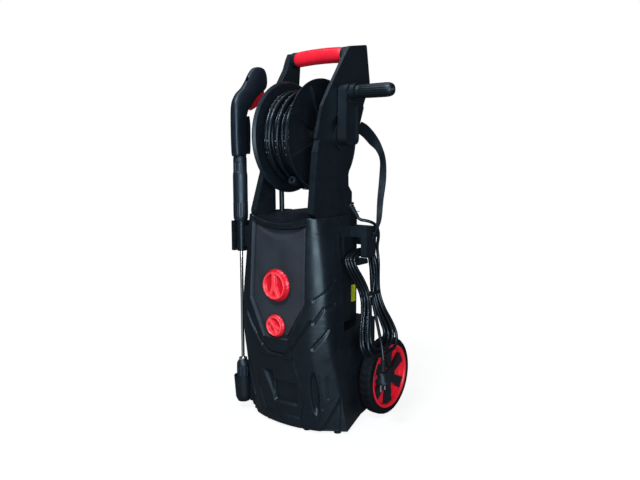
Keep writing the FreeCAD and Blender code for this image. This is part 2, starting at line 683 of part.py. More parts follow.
def nozzle():
    """Twist nozzle on the lance's end."""
    bore = LANCE_R + FIT
    profile = [(40, 3), (40, 13), (48, NOZZLE_R - 1), (70, NOZZLE_R), (126, NOZZLE_R - 0.5), (134, 13),
               (134, bore), (117, bore), (117, 3)]
    return revolve(profile, (GUN_X, GUN_Y, 0), (0, 0, 1))


def gun_holster(outer):
    """Clip on the casing's left side; the lance handle rests on its top."""
    corners = [(GUN_X - 20, GUN_Y - 20, 8), (GUN_X + 20, GUN_Y - 20, 8),
               (GUN_X + 20, GUN_Y + 24, 6), (GUN_X - 20, GUN_Y + 24, 6)]
    clip = prism("z", corners, 434, 511.5)
    clip = clip.cut(rod(LANCE_R + 3, (GUN_X, GUN_Y, 420), (0, 0, 1), 110))
    clip = clip.cut(box((GUN_X - 5.5, GUN_X + 5.5), (GUN_Y - 40, GUN_Y), (420, 520)))
    clip = clip.cut(box((GUN_X - 16, GUN_X + 16), (GUN_Y + 9, GUN_Y + 20), (420, 500)))
    arm = box((GUN_X + 20, -100), (GUN_Y - 6, GUN_Y + 18), (446, 500))
    return clip.fuse(arm).cut(outer)


def nozzle_cup(outer):
    """Cup on the base's left front corner that takes the nozzle."""
    profile = [(22, 0), (22, 16), (34, CUP_R - 4), (92, CUP_R), (92, CUP_R - 3), (37, CUP_R - 4), (37, 0)]
    cup = revolve(profile, (GUN_X, GUN_Y, 0), (0, 0, 1))
    arm = prism("z", [(GUN_X - 8, GUN_Y, 0), (-118, GUN_Y, 0), (-118, -70, 0), (GUN_X - 8, -70, 0)], 26, 84)
    arm = arm.cut(rod(CUP_R - 2, (GUN_X, GUN_Y, 0), (0, 0, 1), 100))
    return cup.fuse(arm).cut(outer)


# ---------------------------------------------------------------- controls
def knob(z, face_r, base_r, root_y):
    """Rotary knob: flared base, domed face and a raised grip ridge."""
    profile = [(KNOB_FACE_Y, 0), (KNOB_FACE_Y, face_r - 3), (KNOB_FACE_Y + 3, face_r),
               (root_y - 3, base_r), (root_y, base_r), (root_y, 0)]
    body = revolve(profile, (0, 0, z), (0, 1, 0))
    dish = revolve([(KNOB_FACE_Y - 1, 0), (KNOB_FACE_Y - 1, face_r - 4), (KNOB_FACE_Y + 8, face_r - 9),
                    (KNOB_FACE_Y + 8, 0)], (0, 0, z), (0, 1, 0))
    wide = face_r * 0.3
    reach = face_r - 4
    section = [(-wide, KNOB_FACE_Y + 9, 0), (-wide * 0.4, KNOB_FACE_Y - 1, 1),
               (wide * 0.4, KNOB_FACE_Y - 1, 1), (wide, KNOB_FACE_Y + 9, 0)]
    ridge = prism("z", section, z - reach, z + reach)
    shaft = rod(KNOB_SHAFT_R, (0, root_y, z), (0, 1, 0), 26)
    return body.cut(dish).fuse(ridge).fuse(shaft)


# ---------------------------------------------------------------- machinery
def motor_housing():
    shell = tube(MOTOR_R, MOTOR_R - 5, (0, MOTOR_Y, 205), (0, 0, 1), 165)
    for z in (205, 364):
        shell = shell.fuse(tube(MOTOR_R, 11, (0, MOTOR_Y, z), (0, 0, 1), 6))
    return shell


def motor_rotor():
    shaft = rod(8, (0, MOTOR_Y, 176), (0, 0, 1), 216)
    return shaft.fuse(rod(33.4, (0, MOTOR_Y, 240), (0, 0, 1), 85))


def cooling_fan():
    hub = tube(16, 8, (0, MOTOR_Y, 376), (0, 0, 1), 14)
    for step in range(9):
        blade = box((14, 46), (MOTOR_Y - 1, MOTOR_Y + 1), (376, 390))
        blade.rotate(V(0, MOTOR_Y, 0), V(0, 0, 1), 40 * step)
        hub = hub.fuse(blade)
    return hub


def wobble_plate():
    """Cam disc under the rotor whose slanted face drives the pistons."""
    disc = rod(32, (0, MOTOR_Y, 180), (0, 0, 1), 18)
    slope = rod(60, (0, MOTOR_Y, 150), (0.1, 0, 1), 34)
    return disc.cut(slope).cut(rod(8, (0, MOTOR_Y, 170), (0, 0, 1), 60))


def piston_angle(index):
    return math.radians(120 * index)


def around_motor(index, radius):
    return (radius * math.cos(piston_angle(index)), MOTOR_Y + radius * math.sin(piston_angle(index)))


def pump_head():
    head = rod(50, (0, MOTOR_Y, 40), (0, 0, 1), 90)
    for index in range(3):
        head = head.cut(rod(8, (*around_motor(index, 24), 70), (0, 0, 1), 90))
    head = head.fuse(box((-14, 14), (MOTOR_Y + 40, 60), (58, 82)))
    return head.cut(rod(6, (0, MOTOR_Y + 30, 70), (0, 1, 0), 90))


def pistons():
    return group([rod(8 - FIT, (*around_motor(index, 24), 80), (0, 0, 1), 94) for index in range(3)])


def piston_springs():
    """Return springs, as close-wound sleeves."""
    return group([tube(12, 9, (*around_motor(index, 24), 132), (0, 0, 1), 38) for index in range(3)])


def water_inlet():
    """Threaded hose nipple at the back of the base."""
    body = rod(8, (0, 62, 70), (0, 1, 0), 84)
    collar = rod(14, (0, 118, 70), (0, 1, 0), 8)
    return body.fuse(collar).cut(rod(5, (0, 60, 70), (0, 1, 0), 100))


def switch_box():
    shell = box((-22, 22), (-142, -112), (345, 390))
    return shell.cut(rod(KNOB_SHAFT_R + GAP, (0, -150, POWER_KNOB_Z), (0, 1, 0), 24))


# ---------------------------------------------------------------- small parts
def feet():
    """Four rubber feet under the base's bowed front edge."""
    shapes = []
    for x, y in ((-132, -88), (-60, -118), (60, -118), (132, -88)):
        shapes.append(rod(9, (x, y, 0), (0, 0, 1), 6))
    return group(shapes)


def cover_screws():
    """Screws that hold the rear cover, heads outwards."""
    shapes = []
    for side in (-1, 1):
        for z in (272, 420, 505):
            shapes.append(rod(4, (side * 62, BAY_BACK, z), (0, 1, 0), 2.5))
    return group(shapes)


def label_plate():
    return box((BAY_X, BAY_X + 0.8), (30, 58), (300, 345))


def build():
    outer = casing()
    inner = casing(WALL)
    pieces = {
        "front_cover": front_cover(outer, inner),
        "control_panel": control_panel(),
        "lower_insert": lower_insert(inner),
        "bulkhead_frame": bulkhead(outer),
        "base_tray": base_tray(),
        "rear_cover": rear_cover(),
        "top_tray": top_tray(),
        "right_upright": right_upright(),
        "left_upright": mirror(leg_with_seats(LEFT_LEG).removeSplitter()),
        "handle_sockets": handle_sockets(),
        "handle_grip": handle_grip(),
        "handle_core": handle_core(),
        "reel_drum": reel_drum(),
        "reel_flanges": group([flange(FLANGE_LEFT, -1), flange(FLANGE_RIGHT, 1)]),
        "reel_axle": reel_axle(),
        "crank_arm": crank_arm(),
        "crank_pin": crank_pin(),
        "crank_grip": crank_grip(),
        "hose_coil": hose_coil(),
        "hose_connector": hose_connector(),
        "hose_swivel": swivel(),
        "lead_hose": cord_tube("lead_hose", LEAD_HOSE, LEAD_HOSE_R),
        "hook_strap": strap(),
        "cord_hook": cord_hook(),
        "cord_gland": cord_gland(),
        "cord_lead": cord_tube("cord_lead", CORD_LEAD, CORD_R),
        "cord_hank": cord_hank(),
        "cord_tie": cord_tie(),
        "cord_tail": cord_tube("cord_tail", CORD_TAIL, CORD_R),
        "plug_body": plug_body(),
        "plug_pins": plug_pins(),
        "wheel_axle": wheel_axle(),
        "gun_body": gun_body(),
        "trigger": trigger(),
        "trigger_pin": trigger_pin(),
        "lance_grip": lance_grip(),
        "lance_tube": lance_tube(),
        "nozzle": nozzle(),
        "gun_holster": gun_holster(outer),
        "nozzle_cup": nozzle_cup(outer),
        "power_knob": knob(POWER_KNOB_Z, POWER_KNOB_R, POWER_BASE_R, POWER_ROOT_Y),
        "detergent_knob": knob(DETERGENT_KNOB_Z, DETERGENT_KNOB_R, DETERGENT_BASE_R, DETERGENT_ROOT_Y),
        "motor_housing": motor_housing(),
        "motor_rotor": motor_rotor(),
        "cooling_fan": cooling_fan(),
        "wobble_plate": wobble_plate(),
        "pump_head": pump_head(),
        "pump_pistons": pistons(),
        "piston_springs": piston_springs(),
        "water_inlet": water_inlet(),
        "switch_box": switch_box(),
        "front_feet": feet(),
        "cover_screws": cover_screws(),
        "label_plate": label_plate(),
    }
    for side, turn in (("right", lambda shape: shape), ("left", mirror)):
        pieces["tyre_" + side] = turn(tyre())
        pieces["rim_" + side] = turn(rim())
        pieces["wheel_cap_" + side] = turn(wheel_cap())
    for name, shape in pieces.items():
        save(name, shape)
    return pieces


build()
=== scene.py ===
"""Looks of the upright pressure washer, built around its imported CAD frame.

The frame is in metres.  Shapes are worked out in millimetres and scaled when their mesh is made.
+X is the right-hand side seen from the front, +Y the back, +Z up.
"""
import json
import math
import random

import bmesh
import bpy
import numpy as np
from mathutils import Matrix, Vector


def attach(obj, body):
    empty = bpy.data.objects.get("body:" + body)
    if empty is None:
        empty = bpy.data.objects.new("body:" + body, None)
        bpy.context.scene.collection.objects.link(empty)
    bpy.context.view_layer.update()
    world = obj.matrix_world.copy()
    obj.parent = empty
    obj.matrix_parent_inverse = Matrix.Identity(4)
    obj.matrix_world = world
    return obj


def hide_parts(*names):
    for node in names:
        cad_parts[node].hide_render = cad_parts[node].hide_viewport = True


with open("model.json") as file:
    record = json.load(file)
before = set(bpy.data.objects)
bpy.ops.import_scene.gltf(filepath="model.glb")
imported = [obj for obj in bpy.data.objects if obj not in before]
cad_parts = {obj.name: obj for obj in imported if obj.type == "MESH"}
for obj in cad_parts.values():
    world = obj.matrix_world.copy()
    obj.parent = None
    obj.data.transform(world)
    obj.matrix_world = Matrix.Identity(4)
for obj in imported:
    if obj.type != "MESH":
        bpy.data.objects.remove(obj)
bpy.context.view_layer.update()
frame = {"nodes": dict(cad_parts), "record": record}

MM = 0.001
scene = bpy.context.scene
nodes = frame["nodes"]
random.seed(7)


# ---------------------------------------------------------------- camera, light and floor
CAMERA_AT = (1.0011, -1.3161, 0.6801)
CAMERA_AIM = (0.0161, -0.0062, 0.463)
LENS = 35.85


def make_camera():
    data = bpy.data.cameras.new("view_camera")
    data.lens = LENS
    camera = bpy.data.objects.new("view_camera", data)
    scene.collection.objects.link(camera)
    camera.location = CAMERA_AT
    camera.rotation_euler = (Vector(CAMERA_AIM) - Vector(CAMERA_AT)).to_track_quat("-Z", "Y").to_euler()
    scene.camera = camera


def softbox(name, place, aim, size, power, colour):
    data = bpy.data.lights.new(name, "AREA")
    data.shape = "RECTANGLE"
    data.size, data.size_y = size
    data.energy = power
    data.color = colour
    lamp = bpy.data.objects.new(name, data)
    scene.collection.objects.link(lamp)
    lamp.location = place
    lamp.rotation_euler = (Vector(aim) - Vector(place)).to_track_quat("-Z", "Y").to_euler()
    lamp.visible_camera = False


def make_world():
    """White behind the object; a dimmer, cool surround lights it."""
    world = bpy.data.worlds.new("studio")
    scene.world = world
    world.use_nodes = True
    tree = world.node_tree
    tree.nodes.clear()
    output = tree.nodes.new("ShaderNodeOutputWorld")
    choose = tree.nodes.new("ShaderNodeMixShader")
    seen = tree.nodes.new("ShaderNodeLightPath")
    surround = tree.nodes.new("ShaderNodeBackground")
    surround.inputs["Color"].default_value = (0.78, 0.88, 1.0, 1.0)
    surround.inputs["Strength"].default_value = 0.07
    backdrop = tree.nodes.new("ShaderNodeBackground")
    backdrop.inputs["Color"].default_value = (1.0, 1.0, 1.0, 1.0)
    backdrop.inputs["Strength"].default_value = 1.0
    tree.links.new(seen.outputs["Is Camera Ray"], choose.inputs["Fac"])
    tree.links.new(surround.outputs[0], choose.inputs[1])
    tree.links.new(backdrop.outputs[0], choose.inputs[2])
    tree.links.new(choose.outputs[0], output.inputs["Surface"])


FLOOR_HALF = 6.0
FLOOR_GLOW = ((0.25, 0.88), (1.3, 1.0))     # how bright the camera sees the floor, by metres from the middle


def make_floor():
    """White studio floor that keeps the object's soft shadow and throws little light back up."""
    mesh = bpy.data.meshes.new("floor")
    corners = [(x * FLOOR_HALF, y * FLOOR_HALF, 0) for x, y in ((-1, -1), (1, -1), (1, 1), (-1, 1))]
    mesh.from_pydata(corners, [], [(0, 1, 2, 3)])
    floor = bpy.data.objects.new("floor", mesh)
    scene.collection.objects.link(floor)
    mat = bpy.data.materials.new("floor_paper")
    mat.use_nodes = True
    tree = mat.node_tree
    shader = tree.nodes["Principled BSDF"]
    shader.inputs["Base Color"].default_value = (0.13, 0.13, 0.13, 1)
    shader.inputs["Roughness"].default_value = 0.9
    shader.inputs["Specular IOR Level"].default_value = 0.1
    place = tree.nodes.new("ShaderNodeTexCoord")
    away = tree.nodes.new("ShaderNodeVectorMath")
    away.operation = "LENGTH"
    tree.links.new(place.outputs["Object"], away.inputs[0])
    glow = tree.nodes.new("ShaderNodeMapRange")
    (near, dim), (far, full) = FLOOR_GLOW
    for socket, value in (("From Min", near), ("From Max", far), ("To Min", dim), ("To Max", full)):
        glow.inputs[socket].default_value = value
    tree.links.new(away.outputs["Value"], glow.inputs["Value"])
    seen = tree.nodes.new("ShaderNodeLightPath")
    strength = calculate(tree, "MULTIPLY", glow.outputs["Result"], seen.outputs["Is Camera Ray"])
    shader.inputs["Emission Color"].default_value = (1, 1, 1, 1)
    tree.links.new(strength, shader.inputs["Emission Strength"])
    mesh.materials.append(mat)


# ---------------------------------------------------------------- materials
def ramp(tree, source, low, high, place=(0.35, 0.65)):
    node = tree.nodes.new("ShaderNodeValToRGB")
    first, last = node.color_ramp.elements
    first.position, last.position = place
    first.color = (*low, 1.0)
    last.color = (*high, 1.0)
    tree.links.new(source, node.inputs["Fac"])
    return node.outputs["Color"]


def mottle(tree, scale, detail=4.0):
    """Noise over the surface in the object's own metres."""
    place = tree.nodes.new("ShaderNodeTexCoord")
    node = tree.nodes.new("ShaderNodeTexNoise")
    node.inputs["Scale"].default_value = scale
    node.inputs["Detail"].default_value = detail
    tree.links.new(place.outputs["Object"], node.inputs["Vector"])
    return node.outputs["Fac"]


def spread(tree, source, low, high):
    """Stretches the noise's middle range over low to high."""
    node = tree.nodes.new("ShaderNodeMapRange")
    node.inputs["From Min"].default_value = 0.3
    node.inputs["From Max"].default_value = 0.7
    node.inputs["To Min"].default_value = low
    node.inputs["To Max"].default_value = high
    tree.links.new(source, node.inputs["Value"])
    return node.outputs["Result"]


def blend_colour(tree, mask, under, over):
    node = tree.nodes.new("ShaderNodeMix")
    node.data_type = "RGBA"
    node.inputs["B"].default_value = (*over, 1.0)
    tree.links.new(mask, node.inputs["Factor"])
    tree.links.new(under, node.inputs["A"])
    return node.outputs["Result"]


def calculate(tree, operation, first, second):
    """Maths node on sockets or plain numbers."""
    node = tree.nodes.new("ShaderNodeMath")
    node.operation = operation
    for socket, value in zip(node.inputs, (first, second)):
        if isinstance(value, (int, float)):
            socket.default_value = value
        else:
            tree.links.new(value, socket)
    return node.outputs["Value"]


def finish(name, colour, rough, grain, depth, metallic=0.0, coat=0.0, vary=0.16, wear=None, glint=0.3):
    """Material with mottled colour and gloss, a bumped grain and, if given, small scuffs of a worn colour."""
    mat = bpy.data.materials.new(name)
    mat.use_nodes = True
    tree = mat.node_tree
    shader = tree.nodes["Principled BSDF"]
    shader.inputs["Metallic"].default_value = metallic
    shader.inputs["Coat Weight"].default_value = coat
    shader.inputs["Coat Roughness"].default_value = 0.15
    shader.inputs["Specular IOR Level"].default_value = glint
    if metallic == 0.0:
        shader.inputs["Specular Tint"].default_value = (0.70, 0.88, 1.0, 1.0)
    dark = [c * (1 - vary) for c in colour]
    light = [min(1.0, c * (1 + vary)) for c in colour]
    shade = ramp(tree, mottle(tree, 14.0), dark, light)
    if wear is not None:
        scuffs = ramp(tree, mottle(tree, 85.0, 8.0), (0, 0, 0), (0.8, 0.8, 0.8), (0.60, 0.74))
        shade = blend_colour(tree, scuffs, shade, wear)
    tree.links.new(shade, shader.inputs["Base Color"])
    gloss = spread(tree, mottle(tree, 38.0), rough * 0.85, rough * 1.15)
    tree.links.new(gloss, shader.inputs["Roughness"])
    bump = tree.nodes.new("ShaderNodeBump")
    bump.inputs["Strength"].default_value = 0.6
    bump.inputs["Distance"].default_value = depth
    tree.links.new(mottle(tree, grain, 3.0), bump.inputs["Height"])
    tree.links.new(bump.outputs["Normal"], shader.inputs["Normal"])
    return mat


DASHES = (13.0, 0.62)           # printed dashes per radian and the share of their pitch that is inked
DASH_GROUPS = (0.95, 0.45)


def add_dashes(mat, centre, crest, colour):
    """Rows of short printed dashes round a reel's axis along X, on what stands out past the crest radius."""
    tree = mat.node_tree
    shader = tree.nodes["Principled BSDF"]
    place = tree.nodes.new("ShaderNodeTexCoord")
    parts = tree.nodes.new("ShaderNodeSeparateXYZ")
    tree.links.new(place.outputs["Object"], parts.inputs["Vector"])
    across = calculate(tree, "SUBTRACT", parts.outputs["Y"], centre[1])
    up = calculate(tree, "SUBTRACT", parts.outputs["Z"], centre[2])
    turn = calculate(tree, "ARCTAN2", up, across)
    radius = calculate(tree, "SQRT", calculate(tree, "ADD", calculate(tree, "MULTIPLY", across, across),
                                               calculate(tree, "MULTIPLY", up, up)), 0.0)
    outside = calculate(tree, "GREATER_THAN", radius, crest)
    mask = outside
    for per_radian, share in (DASHES, DASH_GROUPS):
        place_in_turn = calculate(tree, "FRACT", calculate(tree, "MULTIPLY", turn, per_radian), 0)
        mask = calculate(tree, "MULTIPLY", mask, calculate(tree, "LESS_THAN", place_in_turn, share))
    under = shader.inputs["Base Color"].links[0].from_socket
    tree.links.new(blend_colour(tree, mask, under, colour), shader.inputs["Base Color"])


scene.view_settings.view_transform = "Standard"
make_camera()
make_world()
make_floor()
softbox("front", (1.9, -1.8, 0.7), (0, -0.05, 0.5), (2.3, 1.4), 80, (0.84, 0.93, 1.0))
softbox("high", (0.25, -1.7, 2.5), (0, -0.1, 0.5), (0.7, 0.7), 62, (0.86, 0.94, 1.0))
softbox("top", (-0.3, -0.3, 2.9), (0, 0, 0.4), (1.6, 1.6), 18, (0.90, 0.95, 1.0))

FINISHES = {
    "black_plastic": finish("black_plastic", (0.0036, 0.0056, 0.0086), 0.42, 900, 0.00010,
                            wear=(0.008, 0.012, 0.018), glint=0.5),
    "panel_plastic": finish("panel_plastic", (0.023, 0.026, 0.033), 0.50, 1100, 0.00010),
    "gun_plastic": finish("gun_plastic", (0.0060, 0.0100, 0.0165), 0.42, 1000, 0.00010,
                          wear=(0.012, 0.018, 0.027), glint=0.5),
    "red_plastic": finish("red_plastic", (0.74, 0.010, 0.026), 0.38, 900, 0.00006, coat=0.15, vary=0.08,
                          glint=0.5),
    "chrome": finish("chrome", (0.80, 0.81, 0.83), 0.10, 260, 0.00002, metallic=1.0, vary=0.04),
    "steel": finish("steel", (0.52, 0.52, 0.53), 0.28, 500, 0.00003, metallic=1.0, vary=0.08),
    "brass": finish("brass", (0.72, 0.50, 0.22), 0.25, 500, 0.00003, metallic=1.0, vary=0.08),
    "cast_alloy": finish("cast_alloy", (0.50, 0.51, 0.53), 0.45, 700, 0.00010, metallic=1.0, vary=0.08),
    "hose_rubber": finish("hose_rubber", (0.0040, 0.0060, 0.0090), 0.28, 800, 0.00005),
    "cord_rubber": finish("cord_rubber", (0.0030, 0.0042, 0.0062), 0.30, 700, 0.00003, glint=0.4),
    "soft_rubber": finish("soft_rubber", (0.0060, 0.0080, 0.0110), 0.42, 1000, 0.00008),
    "strap_rubber": finish("strap_rubber", (0.0042, 0.0066, 0.0100), 0.55, 1000, 0.00008, glint=0.15),
    "tyre_rubber": finish("tyre_rubber", (0.0034, 0.0045, 0.0062), 0.65, 800, 0.00015, glint=0.15),
    "label_yellow": finish("label_yellow", (0.72, 0.76, 0.02), 0.35, 900, 0.00003, vary=0.05),
}


# ---------------------------------------------------------------- shape helpers
def ease(value):
    """0 below 0, 1 above 1, smooth between."""
    value = min(1.0, max(0.0, value))
    return value * value * (3 - 2 * value)


def flow(points, steps):
    """Points of any dimension on a smooth curve through the given ones."""
    points = [Vector(p) for p in points]
    last = len(points) - 1
    found = []
    for i in range(last):
        a, b, c, d = points[max(i - 1, 0)], points[i], points[i + 1], points[min(i + 2, last)]
        for k in range(steps):
            t = k / steps
            found.append(0.5 * (2 * b + (c - a) * t + (2 * a - 5 * b + 4 * c - d) * t ** 2
                                + (3 * b - a - 3 * c + d) * t ** 3))
    found.append(points[-1])
    return found


def skin(name, rings, closed=True, caps=True, loop=False, crease=40.0):
    """Mesh through rings of points in millimetres, smooth but for edges sharper than crease degrees."""
    count = len(rings[0])
    verts = [tuple(c * MM for c in p) for ring in rings for p in ring]
    faces = []
    for i in range(len(rings) if loop else len(rings) - 1):
        a = i * count
        b = (i + 1) % len(rings) * count
        for j in range(count if closed else count - 1):
            k = (j + 1) % count
            faces.append((a + j, a + k, b + k, b + j))
    if caps and not loop:
        faces.append(tuple(reversed(range(count))))
        faces.append(tuple(range(len(verts) - count, len(verts))))
    mesh = bpy.data.meshes.new(name)
    mesh.from_pydata(verts, [], faces)
    tidy_mesh(mesh, crease)
    return mesh


def tidy_mesh(mesh, crease=40.0):
    bm = bmesh.new()
    bm.from_mesh(mesh)
    bmesh.ops.remove_doubles(bm, verts=bm.verts, dist=1e-6)
    bmesh.ops.recalc_face_normals(bm, faces=bm.faces)
    bm.to_mesh(mesh)
    bm.free()
    mesh.shade_smooth()
    mesh.set_sharp_from_angle(angle=math.radians(crease))


def basis(axis):
    """Two unit vectors square to the axis and to each other."""
    along = Vector(axis).normalized()
    side = along.cross(Vector((0, 0, 1)) if abs(along.z) < 0.9 else Vector((1, 0, 0))).normalized()
    return side, along.cross(side).normalized()


def lathe(name, profile, centre, axis, segments=64, wave=None, loop=False, crease=40.0):
    """Turned shape from (axial, radial) points; wave(axial, angle) adds to the radius."""
    along = Vector(axis).normalized()
    side, up = basis(axis)
    rings = []
    for axial, radial in profile:
        ring = []
        for k in range(segments):
            angle = 2 * math.pi * k / segments
            radius = radial + (wave(axial, angle) if wave else 0.0)
            arm = side * math.cos(angle) + up * math.sin(angle)
            ring.append(Vector(centre) + along * axial + arm * radius)
        rings.append(ring)
    return skin(name, rings, loop=loop, crease=crease)


def oval(centre, half_a, half_b, power=2.6, count=40):
    """Ring of a rounded rectangle with the two half-axis vectors."""
    ring = []
    for k in range(count):
        angle = 2 * math.pi * k / count
        c, s = math.cos(angle), math.sin(angle)
        ca = math.copysign(abs(c) ** (2 / power), c)
        sb = math.copysign(abs(s) ** (2 / power), s)
        ring.append(Vector(centre) + Vector(half_a) * ca + Vector(half_b) * sb)
    return ring


def piece(name, data, body, slot, *stands_for):
    """Object on a CAD body with its finish, standing for CAD nodes."""
    obj = bpy.data.objects.new(name, data)
    scene.collection.objects.link(obj)
    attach(obj, body)
    data.materials.append(FINISHES[slot])
    if stands_for:
        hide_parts(*stands_for)
    return obj


def soften(obj, width, angle=32.0, segments=2):
    """Rounds the sharp edges of a piece or CAD node with modifiers; its mesh stays as it is."""
    weld = obj.modifiers.new("weld", "WELD")
    weld.merge_threshold = 0.01 * MM
    bevel = obj.modifiers.new("bevel", "BEVEL")
    bevel.width = width * MM
    bevel.segments = segments
    bevel.limit_method = "ANGLE"
    bevel.angle_limit = math.radians(angle)
    bevel.use_clamp_overlap = True
    shade = obj.modifiers.new("shade", "WEIGHTED_NORMAL")
    shade.keep_sharp = False


# ---------------------------------------------------------------- cords and hoses
CORD_R = 0.004
CORD_LEAD = [(0.1151, 0.0165, 0.5294), (0.1198, 0.0201, 0.5195), (0.136, 0.032, 0.518), (0.150, 0.052, 0.508),
             (0.151, 0.066, 0.482), (0.141, 0.071, 0.446)]
CORD_TAIL = [(0.165, 0.014, 0.322), (0.174, 0.010, 0.300), (0.187, 0.003, 0.268), (0.202, -0.007, 0.236),
             (0.213, -0.014, 0.210), (0.217, -0.016, 0.186)]
LEAD_HOSE = [(-0.050, -0.033, 0.095), (-0.069, -0.043, 0.124), (-0.075, -0.050, 0.178),
             (-0.072, -0.053, 0.290), (-0.071, -0.052, 0.430), (-0.073, -0.053, 0.560),
             (-0.077, -0.049, 0.628), (-0.077, -0.0437, 0.692)]
LEAD_HOSE_R = 0.0065
HOOK_LEAN = 14.5                # degrees that the hank leans out from the casing
HANK_TOP = Vector((0.120, 0, 0.452))

# One turn of the hank seen from the side (y, z), innermost and outermost: down the back, along the
# bottom, up the front and over the hook's saddle.
INNER_TURN = ((48, 408), (42, 368), (32, 330), (34, 290), (46, 252), (52, 226), (36, 212), (10, 210),
              (-16, 213), (-28, 228), (-18, 256), (2, 292), (12, 330), (2, 368), (-20, 402), (-20, 424),
              (12, 433), (42, 428))
OUTER_TURN = ((76, 408), (60, 368), (46, 330), (52, 290), (74, 250), (86, 210), (66, 182), (14, 176),
              (-34, 181), (-56, 204), (-42, 246), (-18, 290), (-6, 330), (-22, 368), (-44, 404), (-46, 432),
              (12, 448), (66, 438))
# Layer (0 inside, 2 outside) and column (0 next to the washer) of each turn, in the order wound.
HANK_TURNS = ((2, 2), (2, 1), (2, 0), (1, 0), (0, 1), (1, 1), (1, 2))
FIRST_COLUMN = 116.5            # x of the turns next to the washer
COLUMN_PITCH = 8.5


def leaned(x, y, z):
    """Point of the hank, given upright in millimetres, where it hangs in metres."""
    turn = Matrix.Rotation(-math.radians(HOOK_LEAN), 3, "Y")
    return tuple(HANK_TOP + turn @ (Vector((x, y, z)) * MM - HANK_TOP))


def hank_points():
    """Route points of the hung turns: each drops and swings a little differently, and they fan out below."""
    places = []
    for index, (layer, column) in enumerate(HANK_TURNS):
        drop = random.uniform(-5, 5)
        swing = random.uniform(-4, 4)
        for step, (inner, outer) in enumerate(zip(INNER_TURN, OUTER_TURN)):
            y = inner[0] + (outer[0] - inner[0]) * layer / 2
            z = inner[1] + (outer[1] - inner[1]) * layer / 2
            low = ease((330 - z) / 110)
            fan = max(0, column - 1) * 5.0 * low
            x = FIRST_COLUMN + COLUMN_PITCH * column + fan
            if step >= 15 and index + 1 < len(HANK_TURNS):
                x += (HANK_TURNS[index + 1][1] - column) * COLUMN_PITCH * (step - 14) / 4
            places.append(leaned(x + random.uniform(-0.6, 0.6), y + swing * low, z + drop * low))
    return places


def nurbs(name, points, radius, resolution=5):
    data = bpy.data.curves.new(name, "CURVE")
    data.dimensions = "3D"
    spline = data.splines.new("NURBS")
    spline.points.add(len(points) - 1)
    for point, place in zip(spline.points, points):
        point.co = (*place, 1.0)
        point.radius = radius
    spline.order_u = 3
    spline.use_endpoint_u = True
    data.bevel_depth = 1.0      # each point's own radius carries the size, so the curve's box is true
    data.bevel_resolution = 5
    data.resolution_u = resolution
    data.use_fill_caps = True
    return data


def make_mains_cord():
    """The cord runs from its strain relief over the hook into seven hung turns and down to the plug."""
    inside = [leaned(*place) for place in ((133.5, 48, 406), (134, 42, 370), (133, 31, 345), (132, 21, 328))]
    route = CORD_LEAD + hank_points() + inside + CORD_TAIL
    return piece("mains_cord", nurbs("mains_cord", route, CORD_R), "chassis", "cord_rubber",
                 "cord_lead", "cord_hank", "cord_tail")


REEL = Vector((0.0, -0.041, 0.726))
HOSE_R = 6.0
HOSE_STEPS = 16                 # route points per turn of the wound hose
# Full layers of the reel's hose, from the drum outwards: radius, first and last place across it, turns.
HOSE_LAYERS = ((86.4, -37, 37, 7), (98.8, 37, -37, 7))
OUTER_LAYER = 111.0
OUTER_TURNS = 5
OUTER_PLACES = (-37, -36, -17, 3, 27, 34, 22)       # where the loose turns wander across the reel
PARKED = math.radians(-108.2)   # where round the reel the hose's free end lies


def reel_point(x, radius, angle):
    """Route point that keeps the smooth hose at this radius from the reel's axis."""
    reach = radius / math.cos(math.pi / HOSE_STEPS) * MM
    return (x * MM, REEL.y + reach * math.cos(angle), REEL.z + reach * math.sin(angle))


def reel_hose_points():
    """Two full layers, then a loose outer one whose end is parked under the reel's front."""
    spots = []
    for radius, first, last, turns in HOSE_LAYERS:
        for k in range(turns * HOSE_STEPS):
            t = k / (turns * HOSE_STEPS)
            spots.append((first + (last - first) * t, radius))
    for k in range(OUTER_TURNS * HOSE_STEPS + 1):
        t = k / (OUTER_TURNS * HOSE_STEPS)
        place = t * (len(OUTER_PLACES) - 1)
        low = min(int(place), len(OUTER_PLACES) - 2)
        x = OUTER_PLACES[low] + (OUTER_PLACES[low + 1] - OUTER_PLACES[low]) * ease(place - low)
        spots.append((x, OUTER_LAYER + 16 * ease((t - 0.93) / 0.06)))
    step = 2 * math.pi / HOSE_STEPS
    return [reel_point(x, r, PARKED + (len(spots) - 1 - k) * step) for k, (x, r) in enumerate(spots)]


mains_cord = make_mains_cord()
reel_route = reel_hose_points()
reel_hose = piece("reel_hose", nurbs("reel_hose", reel_route, HOSE_R * MM, 3), "reel", "hose_rubber",
                  "hose_coil")
lead_hose = piece("lead_hose_line", nurbs("lead_hose_line", LEAD_HOSE, LEAD_HOSE_R, 10), "chassis",
                  "hose_rubber", "lead_hose")
reel_hose.data.materials.clear()
printed = FINISHES["hose_rubber"].copy()
printed.name = "hose_rubber_printed"
PRINT_DEPTH = 0.2               # how far the print reaches below the outermost line of the hose
add_dashes(printed, REEL, (OUTER_LAYER + HOSE_R - PRINT_DEPTH) * MM, (0.20, 0.24, 0.28))
reel_hose.data.materials.append(printed)


# ---------------------------------------------------------------- casing skin
# Casing sections: height, front middle y, front corner, side corner, rear side corner.
CASING = np.array((
    (6, -142, 105, -122, 160, -84, 127, 26),
    (110, -158, 112, -142, 149, -100, 129, 22),
    (228, -170, 106, -163, 139, -134, 131, 20),
    (325, -165.5, 104, -162, 137, -142, 130, 20),
    (430, -160, 99, -158, 126, -138, 122, 20),
    (535, -154.5, 95, -153, 110, -143, 112, 20)), float)
COVER_EDGE = ((6, -92), (228, -104), (325, -102), (535, -70))
